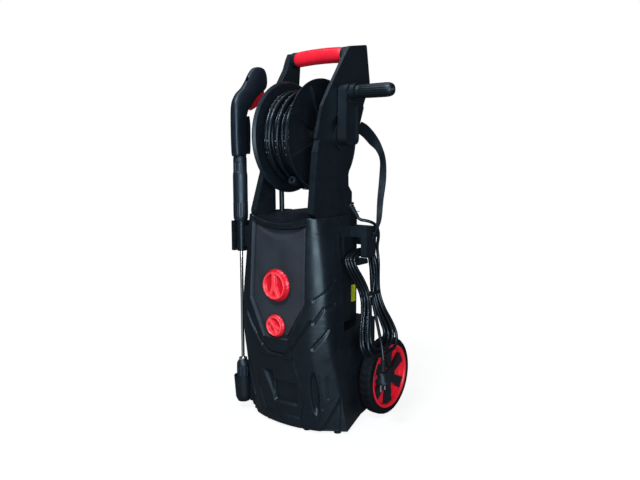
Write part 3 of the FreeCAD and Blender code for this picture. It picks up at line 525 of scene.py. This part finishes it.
# Half width of the panel and of the insert below it, by height.
FRONT_EDGE = ((6, 58), (34, 58), (92, 74), (206, 47), (236, 38), (325, 87), (522, 84), (535, 84))
PANEL = (236, 522)
INSERT = (34, 188)
TOP_Z = 535
DISH = 17                       # how far the casing's top edge dips in the middle
KNOB_Z = 367


def follow(table, z):
    return float(np.interp(z, [row[0] for row in table], [row[1] for row in table]))


def section_values(z):
    """Corner values of the casing at a height, smoothed over 60 mm."""
    reach = max(0.0, min(30.0, z - 6, TOP_Z - z))
    rows = [[np.interp(z + k * reach, CASING[:, 0], CASING[:, i]) for i in range(1, 8)]
            for k in (-1, -0.5, 0, 0.5, 1)]
    return np.mean(rows, axis=0)


def half_section(z):
    """Right half of the casing's outline at a height, one point per mm from the front middle backwards."""
    soft = round(6 + 9 * ease((z - 170) / 150))
    front, cx, cy, sx, sy, rx, ry = section_values(z)
    sag = cy - front
    radius = (cx ** 2 + sag ** 2) / (2 * sag)
    angles = np.linspace(0, math.asin(cx / radius), 100)
    bow = np.c_[radius * np.sin(angles), front + radius * (1 - np.cos(angles))]
    cheek = np.c_[np.linspace(cx, sx, 60)[1:], np.linspace(cy, sy, 60)[1:]]
    side = np.c_[np.linspace(sx, rx, 150)[1:], np.linspace(sy, ry, 150)[1:]]
    line = np.r_[bow, cheek, side]
    run = np.r_[0, np.cumsum(np.hypot(*np.diff(line, axis=0).T))]
    even = np.arange(0, run[-1], 1.0)
    line = np.c_[np.interp(even, run, line[:, 0]), np.interp(even, run, line[:, 1])]
    width = 3 * soft
    weights = np.exp(-np.arange(-width, width + 1) ** 2 / (2 * soft ** 2))
    weights /= weights.sum()
    mirrored = line[1:width + 1][::-1] * (-1, 1)
    beyond = line[-1] + (line[-1] - line[-2]) * np.arange(1, width + 1)[:, None]
    whole = np.r_[mirrored, line, beyond]
    return np.c_[np.convolve(whole[:, 0], weights, "valid"), np.convolve(whole[:, 1], weights, "valid")]


def dip_at(x):
    """How far the casing's top edge lies below its corners."""
    return DISH * max(0.0, 1 - (x / 88) ** 2)


def lowered(x, z):
    """Height of a skin point after the dip of the casing's top edge, which fades out 95 mm below it."""
    return z - dip_at(x) * ease((z - TOP_Z + 95) / 95)


def skin_point(line, s, z, depth):
    """Point a given depth under the casing's surface, s mm along its outline (left side below 0)."""
    span = min(abs(s), len(line) - 2.0)
    low = int(span)
    here = line[low] + (line[low + 1] - line[low]) * (span - low)
    run = line[low + 1] - line[low]
    run = run / np.hypot(*run)
    x, y = here[0] - run[1] * depth, here[1] + run[0] * depth
    return (math.copysign(x, s) if s else 0.0, y, lowered(x, z))


def to_segment(s, z, ends):
    (s0, z0), (s1, z1) = ends
    along = ((s - s0) * (s1 - s0) + (z - z0) * (z1 - z0)) / ((s1 - s0) ** 2 + (z1 - z0) ** 2)
    along = min(1.0, max(0.0, along))
    return math.hypot(s - s0 - along * (s1 - s0), z - z0 - along * (z1 - z0))


# Pressed lines on the cover, as (s, z) ends on both sides: depth, half width, ends.
LINES = (
    (5.5, 5.0, ((-22, 198), (22, 198))),
    (5.5, 5.5, ((22, 198), (46, 216))),
    (5.5, 5.5, ((46, 216), (102, 290))),
    (4.0, 5.0, ((112, 342), (182, 384))),
    (4.5, 5.5, ((112, 288), (138, 322))),
    (3.5, 5.0, ((138, 322), (182, 328))),
    (4.5, 6.0, ((110, 226), (152, 270))),
    (2.0, 3.0, ((120, 68), (120, 154))),
    (2.2, 3.4, ((137, 96), (139, 150))),
)


def cover_depth(s, z, edge):
    """How far the cover's surface lies under the plain casing skin."""
    s = abs(s)
    depth = 0.0
    for deep, wide, ends in LINES:
        depth = max(depth, deep * (1 - ease(to_segment(s, z, ends) / wide)))
    middle = 1 - ((z - 108) / 62) ** 2
    if middle > 0:
        depth = max(depth, 11 * ease(middle * 1.6) * (1 - ease((abs(s - 104) - 8 * middle) / 5.0)))
    under = min(1.0, max(0.0, (s - 106) / 78)) * 116 + 10
    depth += 5.0 * ease((under - z) / 16) * ease((s - 100) / 20)
    inward = max(0.0, 3.0 - (s - edge)) / 3.0 if s >= edge else 0.0
    return depth + 1.4 * inward ** 2


def cover_rows():
    marks = [7, INSERT[0], INSERT[1], PANEL[0], PANEL[1], TOP_Z - 0.4]
    rows = []
    for low, high in zip(marks, marks[1:]):
        steps = max(2, round((high - low) / 2.6))
        rows += [low + (high - low) * k / steps for k in range(steps)]
    return rows + [marks[-1]]


def front_cover_mesh():
    """Grid over the cover whose columns follow the panel's and insert's edges; they are left open."""
    rings, heights = [], cover_rows()
    strip = [0, 0.8, 1.6, 2.4, 3.2]
    middle, outer = 24, 52
    for z in heights:
        line = half_section(z)
        edge = float(np.interp(follow(FRONT_EDGE, z), line[:110, 0], np.arange(110)))
        corner = int(np.argmax(line[:, 0]))
        behind = np.arange(corner - 30, len(line))
        rear = float(np.interp(follow(COVER_EDGE, z), line[behind, 1], behind))
        right = [edge + d for d in strip]
        right += [right[-1] + (rear - right[-1]) * k / outer for k in range(1, outer + 1)]
        centre = [edge * (2 * k / middle - 1) for k in range(1, middle)]
        places = [-s for s in reversed(right)] + centre + right
        rings.append([skin_point(line, s, z, cover_depth(s, z, edge)) for s in places])
    mesh = skin("front_cover_skin", rings, closed=False, caps=False, crease=70)
    side = len(strip) + outer
    open_rows = [(PANEL[0], PANEL[1]), INSERT]
    cut_open(mesh, len(rings[0]), side, middle, heights, open_rows)
    return mesh


def cut_open(mesh, count, side, middle, heights, open_rows):
    """Removes the grid's faces over the panel and the insert."""
    bm = bmesh.new()
    bm.from_mesh(mesh)
    doomed = []
    for face in bm.faces:
        rows = [vert.index // count for vert in face.verts]
        columns = [vert.index % count for vert in face.verts]
        low, high = heights[min(rows)], heights[max(rows)]
        across = min(columns) >= side - 1 and max(columns) <= side + middle - 1
        if across and any(a - 0.01 <= low and high <= b + 0.01 for a, b in open_rows):
            doomed.append(face)
    bmesh.ops.delete(bm, geom=doomed, context="FACES")
    bm.to_mesh(mesh)
    bm.free()


def thicken(obj, depth):
    shell = obj.modifiers.new("shell", "SOLIDIFY")
    shell.thickness = depth * MM
    shell.offset = -1
    shell.use_even_offset = False


def inset_steps(low, high, step):
    """Levels from low to high, close together near both ends."""
    near = [0.0, 0.9, 1.8, 2.5, 3.2, 3.9, 4.6, 5.4, 7.0]
    count = max(2, round((high - low - 14) / step))
    middle = [low + 7 + (high - low - 14) * k / count for k in range(1, count)]
    return [low + d for d in near] + middle + [high - d for d in reversed(near)]


def filled_front(name, limits, depth_at, step=3.0, slack=0.35):
    """Grid that fills the cover's opening between two heights."""
    rings = []
    low, high = limits
    for z in inset_steps(low + slack, high - slack, step):
        line = half_section(z)
        half = follow(FRONT_EDGE, z) - slack
        edge = float(np.interp(half, line[:110, 0], np.arange(110)))
        slope = (follow(FRONT_EDGE, z + 1) - follow(FRONT_EDGE, z - 1)) / 2
        across = inset_steps(-100, 100, 2 * 100 * step / 170)
        ring = []
        for share in across:
            margin = 100 - abs(share)
            s = math.copysign(edge - margin, share) if margin <= 7 else share * (edge - 7) / 93
            x = float(np.interp(abs(s), np.arange(len(line)), line[:, 0]))
            inner = min((half - x) / math.hypot(1, slope), z - low - slack, high - slack - z)
            ring.append(skin_point(line, s, z, depth_at(math.copysign(x, s), z, inner)))
        rings.append(ring)
    return skin(name, rings, closed=False, caps=False, crease=80)


def panel_depth(x, z, inner):
    """Rim, wall and floor of the panel, its round dish behind the main knob and the scoop at its top."""
    groove = 3.4 + 4.0 * ease((320 - z) / 40)
    depth = 1.0 + 15 * ease((inner - 0.6) / 1.6) - 8.6 * ease((inner - groove) / 2.5)
    around = math.hypot(x, z - KNOB_Z)
    depth += 1.3 * (1 - ease((around - 46) / 3.0))
    scoop = 522 - 34 * max(0.0, 1 - (x / 84) ** 2)
    return depth + 5.0 * ease((z - scoop + 4) / 22) * ease((inner - 1.6) / 3.0)


def insert_depth(x, z, inner):
    """Lower insert: a shallow rim, a sunken left flank and a hand recess with a sloping roof."""
    depth = 1.0 + 1.4 * ease((inner - 1.0) / 2.5)
    flank = min(152 - z, 0.91 * (x + 62) + 0.41 * (z - 150), -14 - x)
    depth += 9 * ease(flank / 16)
    inside = min(37 - abs(x - 14), 124 - z, z - 66)
    return depth + 9 * ease((inside + 1) / 3)


LID_HALF = 86.6                 # half the lid's width, between the uprights
LID_MIDDLE = -66                # y where the dipped front half meets the flat rear one
# Rear half of the lid: y and height above the casing's top.
LID_REAR = ((-65, 1.2), (-63.5, 1.8), (-40, 2), (20, 2), (68, 2), (72, 1.4), (73.8, -0.4))


def top_tray_mesh():
    """Lid that dips in the middle behind the cover's top edge, with a flat rear half."""
    line = half_section(TOP_Z)
    rings = []
    for k in range(45):
        x = LID_HALF * (2 * k / 44 - 1)
        front = float(np.interp(abs(x), line[:110, 0], line[:110, 1])) + 3.2
        dip = dip_at(x)
        ring = []
        for j in range(21):
            share = j / 20
            sunk = 2.5 * ease(min(share, 1 - share) * 9)
            height = TOP_Z - 0.6 - dip * (1 - ease((share - 0.4) / 0.6)) - sunk
            ring.append((x, front + (LID_MIDDLE - front) * share, height))
        ring += [(x, y, TOP_Z + rise) for y, rise in LID_REAR]
        rings.append(ring)
    return skin("top_tray_skin", rings, closed=False, caps=False, crease=70)


cover = piece("front_cover_skin", front_cover_mesh(), "chassis", "black_plastic", "front_cover")
thicken(cover, 3.0)
panel = piece("control_panel_skin", filled_front("control_panel_skin", PANEL, panel_depth), "chassis",
              "panel_plastic", "control_panel")
thicken(panel, 2.0)
insert = piece("lower_insert_skin", filled_front("lower_insert_skin", INSERT, insert_depth), "chassis",
               "black_plastic", "lower_insert")
thicken(insert, 2.0)


# ---------------------------------------------------------------- knobs
KNOB_FRONT = -174.5             # y of both knobs' faces


def knob_depth(x, z, face, turn):
    """How far the knob's face is sunk at a point: a dish crossed by a ridge that widens downwards."""
    c, s = math.cos(turn), math.sin(turn)
    x, z = x * c + z * s, z * c - x * s
    around = math.hypot(x, z)
    dish = 7.5 * ease((face - 2.2 - around) / 5.0)
    half = face * (0.13 + 0.30 * ease((0.15 * face - z) / face))
    ridge = 1 - ease((abs(x) - half) / 2.6)
    notch = ease(((-0.30 * face - z) * 0.62 - abs(x)) / 1.6) * ease((z + 0.82 * face) / 2.0)
    return dish * (1 - ridge * (1 - 0.75 * notch))


def knob_mesh(name, z, face, base, root, turn):
    """Rotary knob: face rings from the middle outwards, then the fluted wall down to its base."""
    front = KNOB_FRONT
    segments = 120
    rings = []
    for k in range(27):
        radius = max(0.05, (face - 1.2) * k / 26)
        ring = []
        for j in range(segments):
            angle = 2 * math.pi * j / segments
            dx, dz = radius * math.cos(angle), radius * math.sin(angle)
            ring.append((dx, front + knob_depth(dx, dz, face, turn), z + dz))
        rings.append(ring)
    wall = ((0.5, face - 0.4), (1.6, face), (3.0, face + 0.2), (root - 5 - front, base - 2),
            (root - 3.2 - front, base), (root - 0.8 - front, base), (root - 0.3 - front, base - 0.8))
    for index, (back, radius) in enumerate(wall):
        ring = []
        for j in range(segments):
            angle = 2 * math.pi * j / segments
            flute = 0.7 * max(0.0, math.cos(angle * 24)) if index in (2, 3) else 0.0
            reach = radius - flute
            ring.append((reach * math.cos(angle), front + back, z + reach * math.sin(angle)))
        rings.append(ring)
    return skin(name, rings, crease=50)


def paint_sheen_and_shade_by_depth(mat, front, deep, near, far):
    """Painted light: a painted sheen, paler, on what stands nearest a front plane (y in metres), and painted
    shade, deeper red, in the hollows behind it.
    """
    tree = mat.node_tree
    shader = tree.nodes["Principled BSDF"]
    place = tree.nodes.new("ShaderNodeTexCoord")
    parts = tree.nodes.new("ShaderNodeSeparateXYZ")
    tree.links.new(place.outputs["Object"], parts.inputs["Vector"])
    behind = calculate(tree, "DIVIDE", calculate(tree, "SUBTRACT", parts.outputs["Y"], front), deep)
    # painted sheen near the front plane, fading to painted shade deeper behind it
    tint = ramp(tree, behind, near, far, (0.0, 1.0))
    blend = tree.nodes.new("ShaderNodeMix")
    blend.data_type = "RGBA"
    blend.inputs["Factor"].default_value = 0.8
    tree.links.new(shader.inputs["Base Color"].links[0].from_socket, blend.inputs["A"])
    tree.links.new(tint, blend.inputs["B"])
    tree.links.new(blend.outputs["Result"], shader.inputs["Base Color"])


piece("power_knob_cap", knob_mesh("power_knob_cap", KNOB_Z, 33.5, 40, -159.1, 0.0), "power_switch",
      "red_plastic", "power_knob")
piece("detergent_knob_cap", knob_mesh("detergent_knob_cap", 267, 24, 28, -163.7, math.radians(50)),
      "detergent_control", "red_plastic", "detergent_knob")
knob_red_painted_light = FINISHES["red_plastic"].copy()
knob_red_painted_light.name = "red_plastic_knob_painted_light"
# The knobs' raised tops get a painted sheen and their dishes get painted shade.
paint_sheen_and_shade_by_depth(knob_red_painted_light, KNOB_FRONT * MM, 0.0065, (0.95, 0.055, 0.070), (0.56, 0.001, 0.010))
for name in ("power_knob_cap", "detergent_knob_cap"):
    bpy.data.objects[name].data.materials[0] = knob_red_painted_light


# ---------------------------------------------------------------- handle and crank grips
def handle_mesh():
    """Red carry grip, slightly arched, with a soft swell in its middle."""
    rings = []
    for k in range(33):
        x = -76 + 152 * k / 32
        share = 1 - (x / 76) ** 2
        radius = 17.5 + 1.8 * ease(share * 3) - 1.2 * ease((abs(x) - 73) / 3)
        centre = (x, 18, 927 + 3 * share)
        rings.append(oval(centre, (0, radius, 0), (0, 0, radius), 2.15, 48))
    return skin("handle_grip_sleeve", rings)


CRANK_PIN = Vector((152.4, -41, 829))       # where the crank's grip starts on its pin
CRANK_GRIP = ((0, 5.2), (0, 13), (0.8, 15.2), (6, 15.8), (9, 14.8), (12, 15.6), (40, 16.2), (78, 16.4),
              (86, 15.8), (92, 14.6), (95.5, 12.4), (97, 9.6), (87.4, 9.5), (87.4, 5.2))


def crank_ribs(axial, angle):
    return 0.3 * math.cos(angle * 20) if 11 < axial < 87 else 0.0


def crank_grip_mesh():
    """Hand grip of the crank: lengthwise ribs between a collar and a domed end."""
    return lathe("crank_grip_sleeve", CRANK_GRIP, CRANK_PIN, (1, 0, 0), 120, crank_ribs, loop=True, crease=35)


piece("handle_grip_sleeve", handle_mesh(), "chassis", "red_plastic", "handle_grip")
piece("crank_grip_sleeve", crank_grip_mesh(), "crank_handle", "black_plastic", "crank_grip")


# ---------------------------------------------------------------- spray gun
GUN = Vector((-164.4, -111.2, 0))      # the lance's axis


def side_loft(name, stations, body_steps=5, count=36):
    """Body lofted across the gun's side view: each station has its front and back point, given from the
    lance's axis as (y, z), then its half thickness and how square its section is."""
    rings = []
    for ya, za, yb, zb, half, power in flow(stations, body_steps):
        a = Vector((GUN.x, GUN.y + ya, za))
        b = Vector((GUN.x, GUN.y + yb, zb))
        rings.append(oval((a + b) / 2, (half, 0, 0), (b - a) / 2, power, count))
    return skin(name, rings, crease=45)


def cut_box(name, mesh, low, high):
    """Copy of the mesh with a box between the two corners (mm) taken out."""
    target = bpy.data.objects.new("cut_target", mesh)
    cutter_mesh = bpy.data.meshes.new("cutter")
    bm = bmesh.new()
    bmesh.ops.create_cube(bm, size=1.0)
    for vert in bm.verts:
        vert.co = Vector([(a if c < 0 else b) * MM for c, a, b in zip(vert.co, low, high)])
    bm.to_mesh(cutter_mesh)
    bm.free()
    cutter = bpy.data.objects.new("cutter", cutter_mesh)
    for obj in (target, cutter):
        scene.collection.objects.link(obj)
    cut = target.modifiers.new("cut", "BOOLEAN")
    cut.operation = "DIFFERENCE"
    cut.solver = "EXACT"
    cut.object = cutter
    bpy.context.view_layer.update()
    result = bpy.data.meshes.new_from_object(target.evaluated_get(bpy.context.evaluated_depsgraph_get()))
    for obj in (target, cutter):
        bpy.data.objects.remove(obj)
    result.materials.clear()
    result.name = name
    tidy_mesh(result, 45)
    return result


JACKET = ((-20, 678, 16, 678, 12.5, 3.4), (-22.5, 686, 17, 686, 14, 3.4), (-24, 720, 17, 720, 14, 3.4),
          (-24, 770, 17, 766, 14, 3.4), (-23.5, 800, 27, 795, 14, 3.2), (-19, 820, 39, 806, 14, 3.0),
          (-7, 838, 52, 821, 13.5, 2.8), (10, 852, 66, 834, 13, 2.6), (25, 871, 84, 845, 12.5, 2.5),
          (38, 891, 99, 856, 12.5, 2.5), (52, 905, 104, 868, 12.5, 2.5), (66, 910, 103, 884, 12, 2.4),
          (78, 911, 98, 898, 10, 2.2), (86, 909, 92, 905, 5, 2.0))
RIB = ((15, 684, 34, 684, 6.5, 4), (15, 700, 36, 698, 7, 4), (15, 750, 37, 758, 7, 4),
       (15, 778, 34, 782, 6.5, 4))
LEVER = ((36, 808, 43, 797, 4.5, 3), (44, 820, 62, 806, 4.5, 3), (56, 834, 79, 818, 4.5, 3),
         (66, 847, 92, 832, 4.5, 3), (74, 857, 95, 846, 4.5, 3), (80, 861, 92, 858, 4.2, 3))

TRIGGER_SLOT = (GUN + Vector((-5.5, 25, 795)), GUN + Vector((5.5, 112, 880)))
jacket = cut_box("gun_shell", side_loft("jacket", JACKET), *TRIGGER_SLOT)
piece("gun_shell", jacket, "gun", "gun_plastic", "gun_body")
piece("gun_rib", side_loft("gun_rib", RIB), "gun", "gun_plastic")
piece("trigger_lever", side_loft("trigger_lever", LEVER), "gun_trigger", "red_plastic", "trigger")


def bayonet(axial, angle):
    """Raised frame on the lance handle's upper end, and fine ribs round its foot."""
    across = angle - 3.55
    if 634 < axial < 668 and abs(across) < 0.50:
        frame_part = axial > 664 or axial < 638 or abs(across) > 0.38
        return 0.9 if frame_part else 0.0
    return 0.3 * math.cos(angle * 24) if 524 < axial < 560 else 0.0


def lance_grip_mesh():
    rise = [512.0, 512.0, 513.5, 518, 523] + [523 + 2 * k for k in range(1, 76)] + [675.5, 677.6, 678, 678]
    profile = []
    for index, z in enumerate(rise):
        radius = 19 - 1.4 * ease((z - 628) / 14) - 2.4 * ease((519 - z) / 7) - 1.2 * ease((z - 673) / 5)
        profile.append((z, 4.4 if index in (0, len(rise) - 1) else radius))
    return lathe("lance_handle", profile, GUN, (0, 0, 1), 144, bayonet, loop=True, crease=35)


def nozzle_ribs(axial, angle):
    return -0.9 * max(0.0, math.cos(angle * 18)) if 56 < axial < 120 else 0.0


NOZZLE = ((40, 3), (40, 12), (41.5, 13.6), (47, 15.8), (52, 16.8), (60, 17.2), (64, 17.4), (116, 17.2),
          (119, 17.0), (124, 17.0), (128, 16.2), (132, 14), (134, 12.4), (134, 4.5), (117, 4.5), (117, 3))

piece("lance_handle", lance_grip_mesh(), "gun", "gun_plastic", "lance_grip")
sleeve = lathe("nozzle_sleeve", NOZZLE, GUN, (0, 0, 1), 144, nozzle_ribs, loop=True, crease=35)
piece("nozzle_sleeve", sleeve, "lance_nozzle", "gun_plastic", "nozzle")


# ---------------------------------------------------------------- what goes with the cords
def tie_mesh():
    """Rubber band round the hank's waist."""
    rings = []
    for z, grow in ((326, 1.8), (330, 2.1), (334, 1.8), (334, 0), (330, 0.2), (326, 0)):
        ring = oval((125, 20, z), (14.2 + grow, 0, 0), (0, 32.5 + grow, 0), 3, 56)
        rings.append([Vector(leaned(*p)) / MM for p in ring])
    return skin("cord_band", rings, loop=True, crease=50)


def gland_mesh():
    """Tapered relief with five ribs and a collar."""
    profile = [(0.5, 0.05), (0.5, 10.4), (1.2, 11), (5.2, 11), (6, 10.2), (6.4, 7.6)]
    for k in range(6):
        start = 8 + 5.2 * k
        tall, deep = 8.5 - 0.55 * k, 7.1 - 0.45 * k
        profile += [(start, deep), (start + 0.7, tall), (start + 2.9, tall - 0.2), (start + 3.6, deep - 0.2)]
    profile += [(39.5, 4.9), (40, 4.4), (40, 0.05)]
    return lathe("cord_relief", profile, (100, 5, 560), (0.42, 0.32, -0.85), 56, crease=35)


PLUG = (217, -16)               # x and y of the hanging plug's axis
# Height, half width and half depth of the plug's body below its relief.
PLUG_GRIP = ((152, 11, 9), (149, 14, 11), (144, 15.5, 12), (136, 16, 13), (131, 17.6, 17), (129, 18, 18),
             (125.5, 18, 18), (124.2, 17, 17))


def plug_mesh():
    """Round moulded plug: ribbed relief, two flattened grips and a wide face."""
    rings = []
    relief = [(188, 5.6), (187, 6.0)]
    for k in range(5):
        relief += [(184 - 6 * k, 6.2 + 0.4 * k), (183 - 6 * k, 5.2 + 0.4 * k), (180.4 - 6 * k, 5.3 + 0.4 * k),
                   (179.4 - 6 * k, 6.6 + 0.4 * k)]
    for z, radius in relief:
        rings.append(oval((*PLUG, z), (radius, 0, 0), (0, radius, 0), 2, 48))
    for z, wide, deep in PLUG_GRIP:
        rings.append(oval((*PLUG, z), (0, wide, 0), (deep, 0, 0), 2.2, 48))
    return skin("mains_plug", rings, crease=38)


COUPLING = ((0, 4), (0, 9.4), (1, 10.2), (17, 10.2), (18, 9), (20, 8.6), (31, 8.6), (33, 7.8), (47, 7.3),
            (50, 6.5), (50, 4))
COUPLING_AT = (22, -127.7, 622.4)
COUPLING_ALONG = (0, 0.94, -0.342)


def coupling_grooves(axial, angle):
    return 0.55 * math.cos(angle * 12) if 0.5 < axial < 17.5 else 0.0


def coupling_mesh():
    """Screw coupling on the wound hose's free end."""
    return lathe("hose_coupling", COUPLING, COUPLING_AT, COUPLING_ALONG, 96, coupling_grooves, loop=True,
                 crease=35)


# Flat strap from the right upright to the hook's button: centre and half-width vector of each station.
STRAP = ((103, 41, 752, 0, 12, 13), (106, 67, 741, 0, 10, 15), (112, 92, 721, 2, 10, 13),
         (124, 103, 699, 6, 5, 6), (137, 102, 668, 8, 1, 2), (146, 87, 618, 8, 5, 3),
         (153, 66, 567, 8, 2, 1), (162, 46, 520, 5, 5, 3), (166, 31, 497, 1, 7, 5),
         (166, 20, 486, 0, 7, 6), (166, 13, 479, 0, 5, 4))


def strap_mesh():
    stations = flow(STRAP, 8)
    rings = []
    for index, station in enumerate(stations):
        ahead = Vector(stations[min(index + 1, len(stations) - 1)][:3])
        behind = Vector(stations[max(index - 1, 0)][:3])
        half = Vector(station[3:])
        normal = (ahead - behind).cross(half).normalized()
        rings.append(oval(Vector(station[:3]), half, normal * 1.5, 7, 24))
    return skin("strap_band", rings, crease=50)


def web_mesh():
    """Stiffening web under the cord hook's arm, above the hung turns."""
    rings = [oval((125.5, 27, z), (20.5 - shy, 0, 0), (0, 6.5 - shy, 0), 9, 48)
             for z, shy in ((457, 1.5), (457.6, 0.5), (459, 0), (481, 0))]
    return skin("hook_web", rings)


piece("hook_web", web_mesh(), "chassis", "black_plastic")
tie = piece("cord_band", tie_mesh(), "chassis", "strap_rubber", "cord_tie")
piece("cord_relief", gland_mesh(), "chassis", "soft_rubber", "cord_gland")
plug = piece("mains_plug", plug_mesh(), "chassis", "soft_rubber", "plug_body")
coupling = piece("hose_coupling", coupling_mesh(), "reel", "black_plastic", "hose_connector")
piece("strap_band", strap_mesh(), "chassis", "strap_rubber", "hook_strap")


# ---------------------------------------------------------------- tyres and lid
def tread(axial, angle):
    """Slanted grooves across the tyre's running face."""
    inside = 4 < axial < 33
    return -1.3 * ease((math.cos(angle * 34 + abs(axial - 18.5) * 0.16) - 0.35) / 0.3) if inside else 0.0


TYRE = ((3, 84), (0.8, 86), (0, 90), (0.6, 95), (2.6, 99), (5, 101), (9, 102), (13, 102.3), (18.5, 102.3),
        (24, 102.3), (28, 102), (32, 101), (34.4, 99), (36.4, 95), (37, 90), (36.2, 86), (34, 84))
for side, name in ((1, "right"), (-1, "left")):
    hub = (side * 137, 94, 102.3)
    rubber = lathe("tyre_tread_" + name, TYRE, hub, (side, 0, 0), 340, tread, loop=True, crease=50)
    piece("tyre_tread_" + name, rubber, "wheel_" + name, "tyre_rubber", "tyre_" + name)
piece("top_tray_skin", top_tray_mesh(), "chassis", "black_plastic", "top_tray")


# ---------------------------------------------------------------- the CAD's own nodes
BEVELS = {"right_upright": 3.2, "left_upright": 3.2, "crank_arm": 3.0, "gun_holster": 2.0, "cord_hook": 1.8,
          "base_tray": 1.6, "nozzle_cup": 1.4}
record_slots = {part["node"]: part["material_slot"] for part in frame["record"]["subparts"]}
for name, obj in nodes.items():
    if not obj.hide_render:
        obj.data.materials.clear()
        obj.data.materials.append(FINISHES[record_slots[name]])
        soften(obj, BEVELS.get(name, 0.8), segments=3 if name in BEVELS else 2)
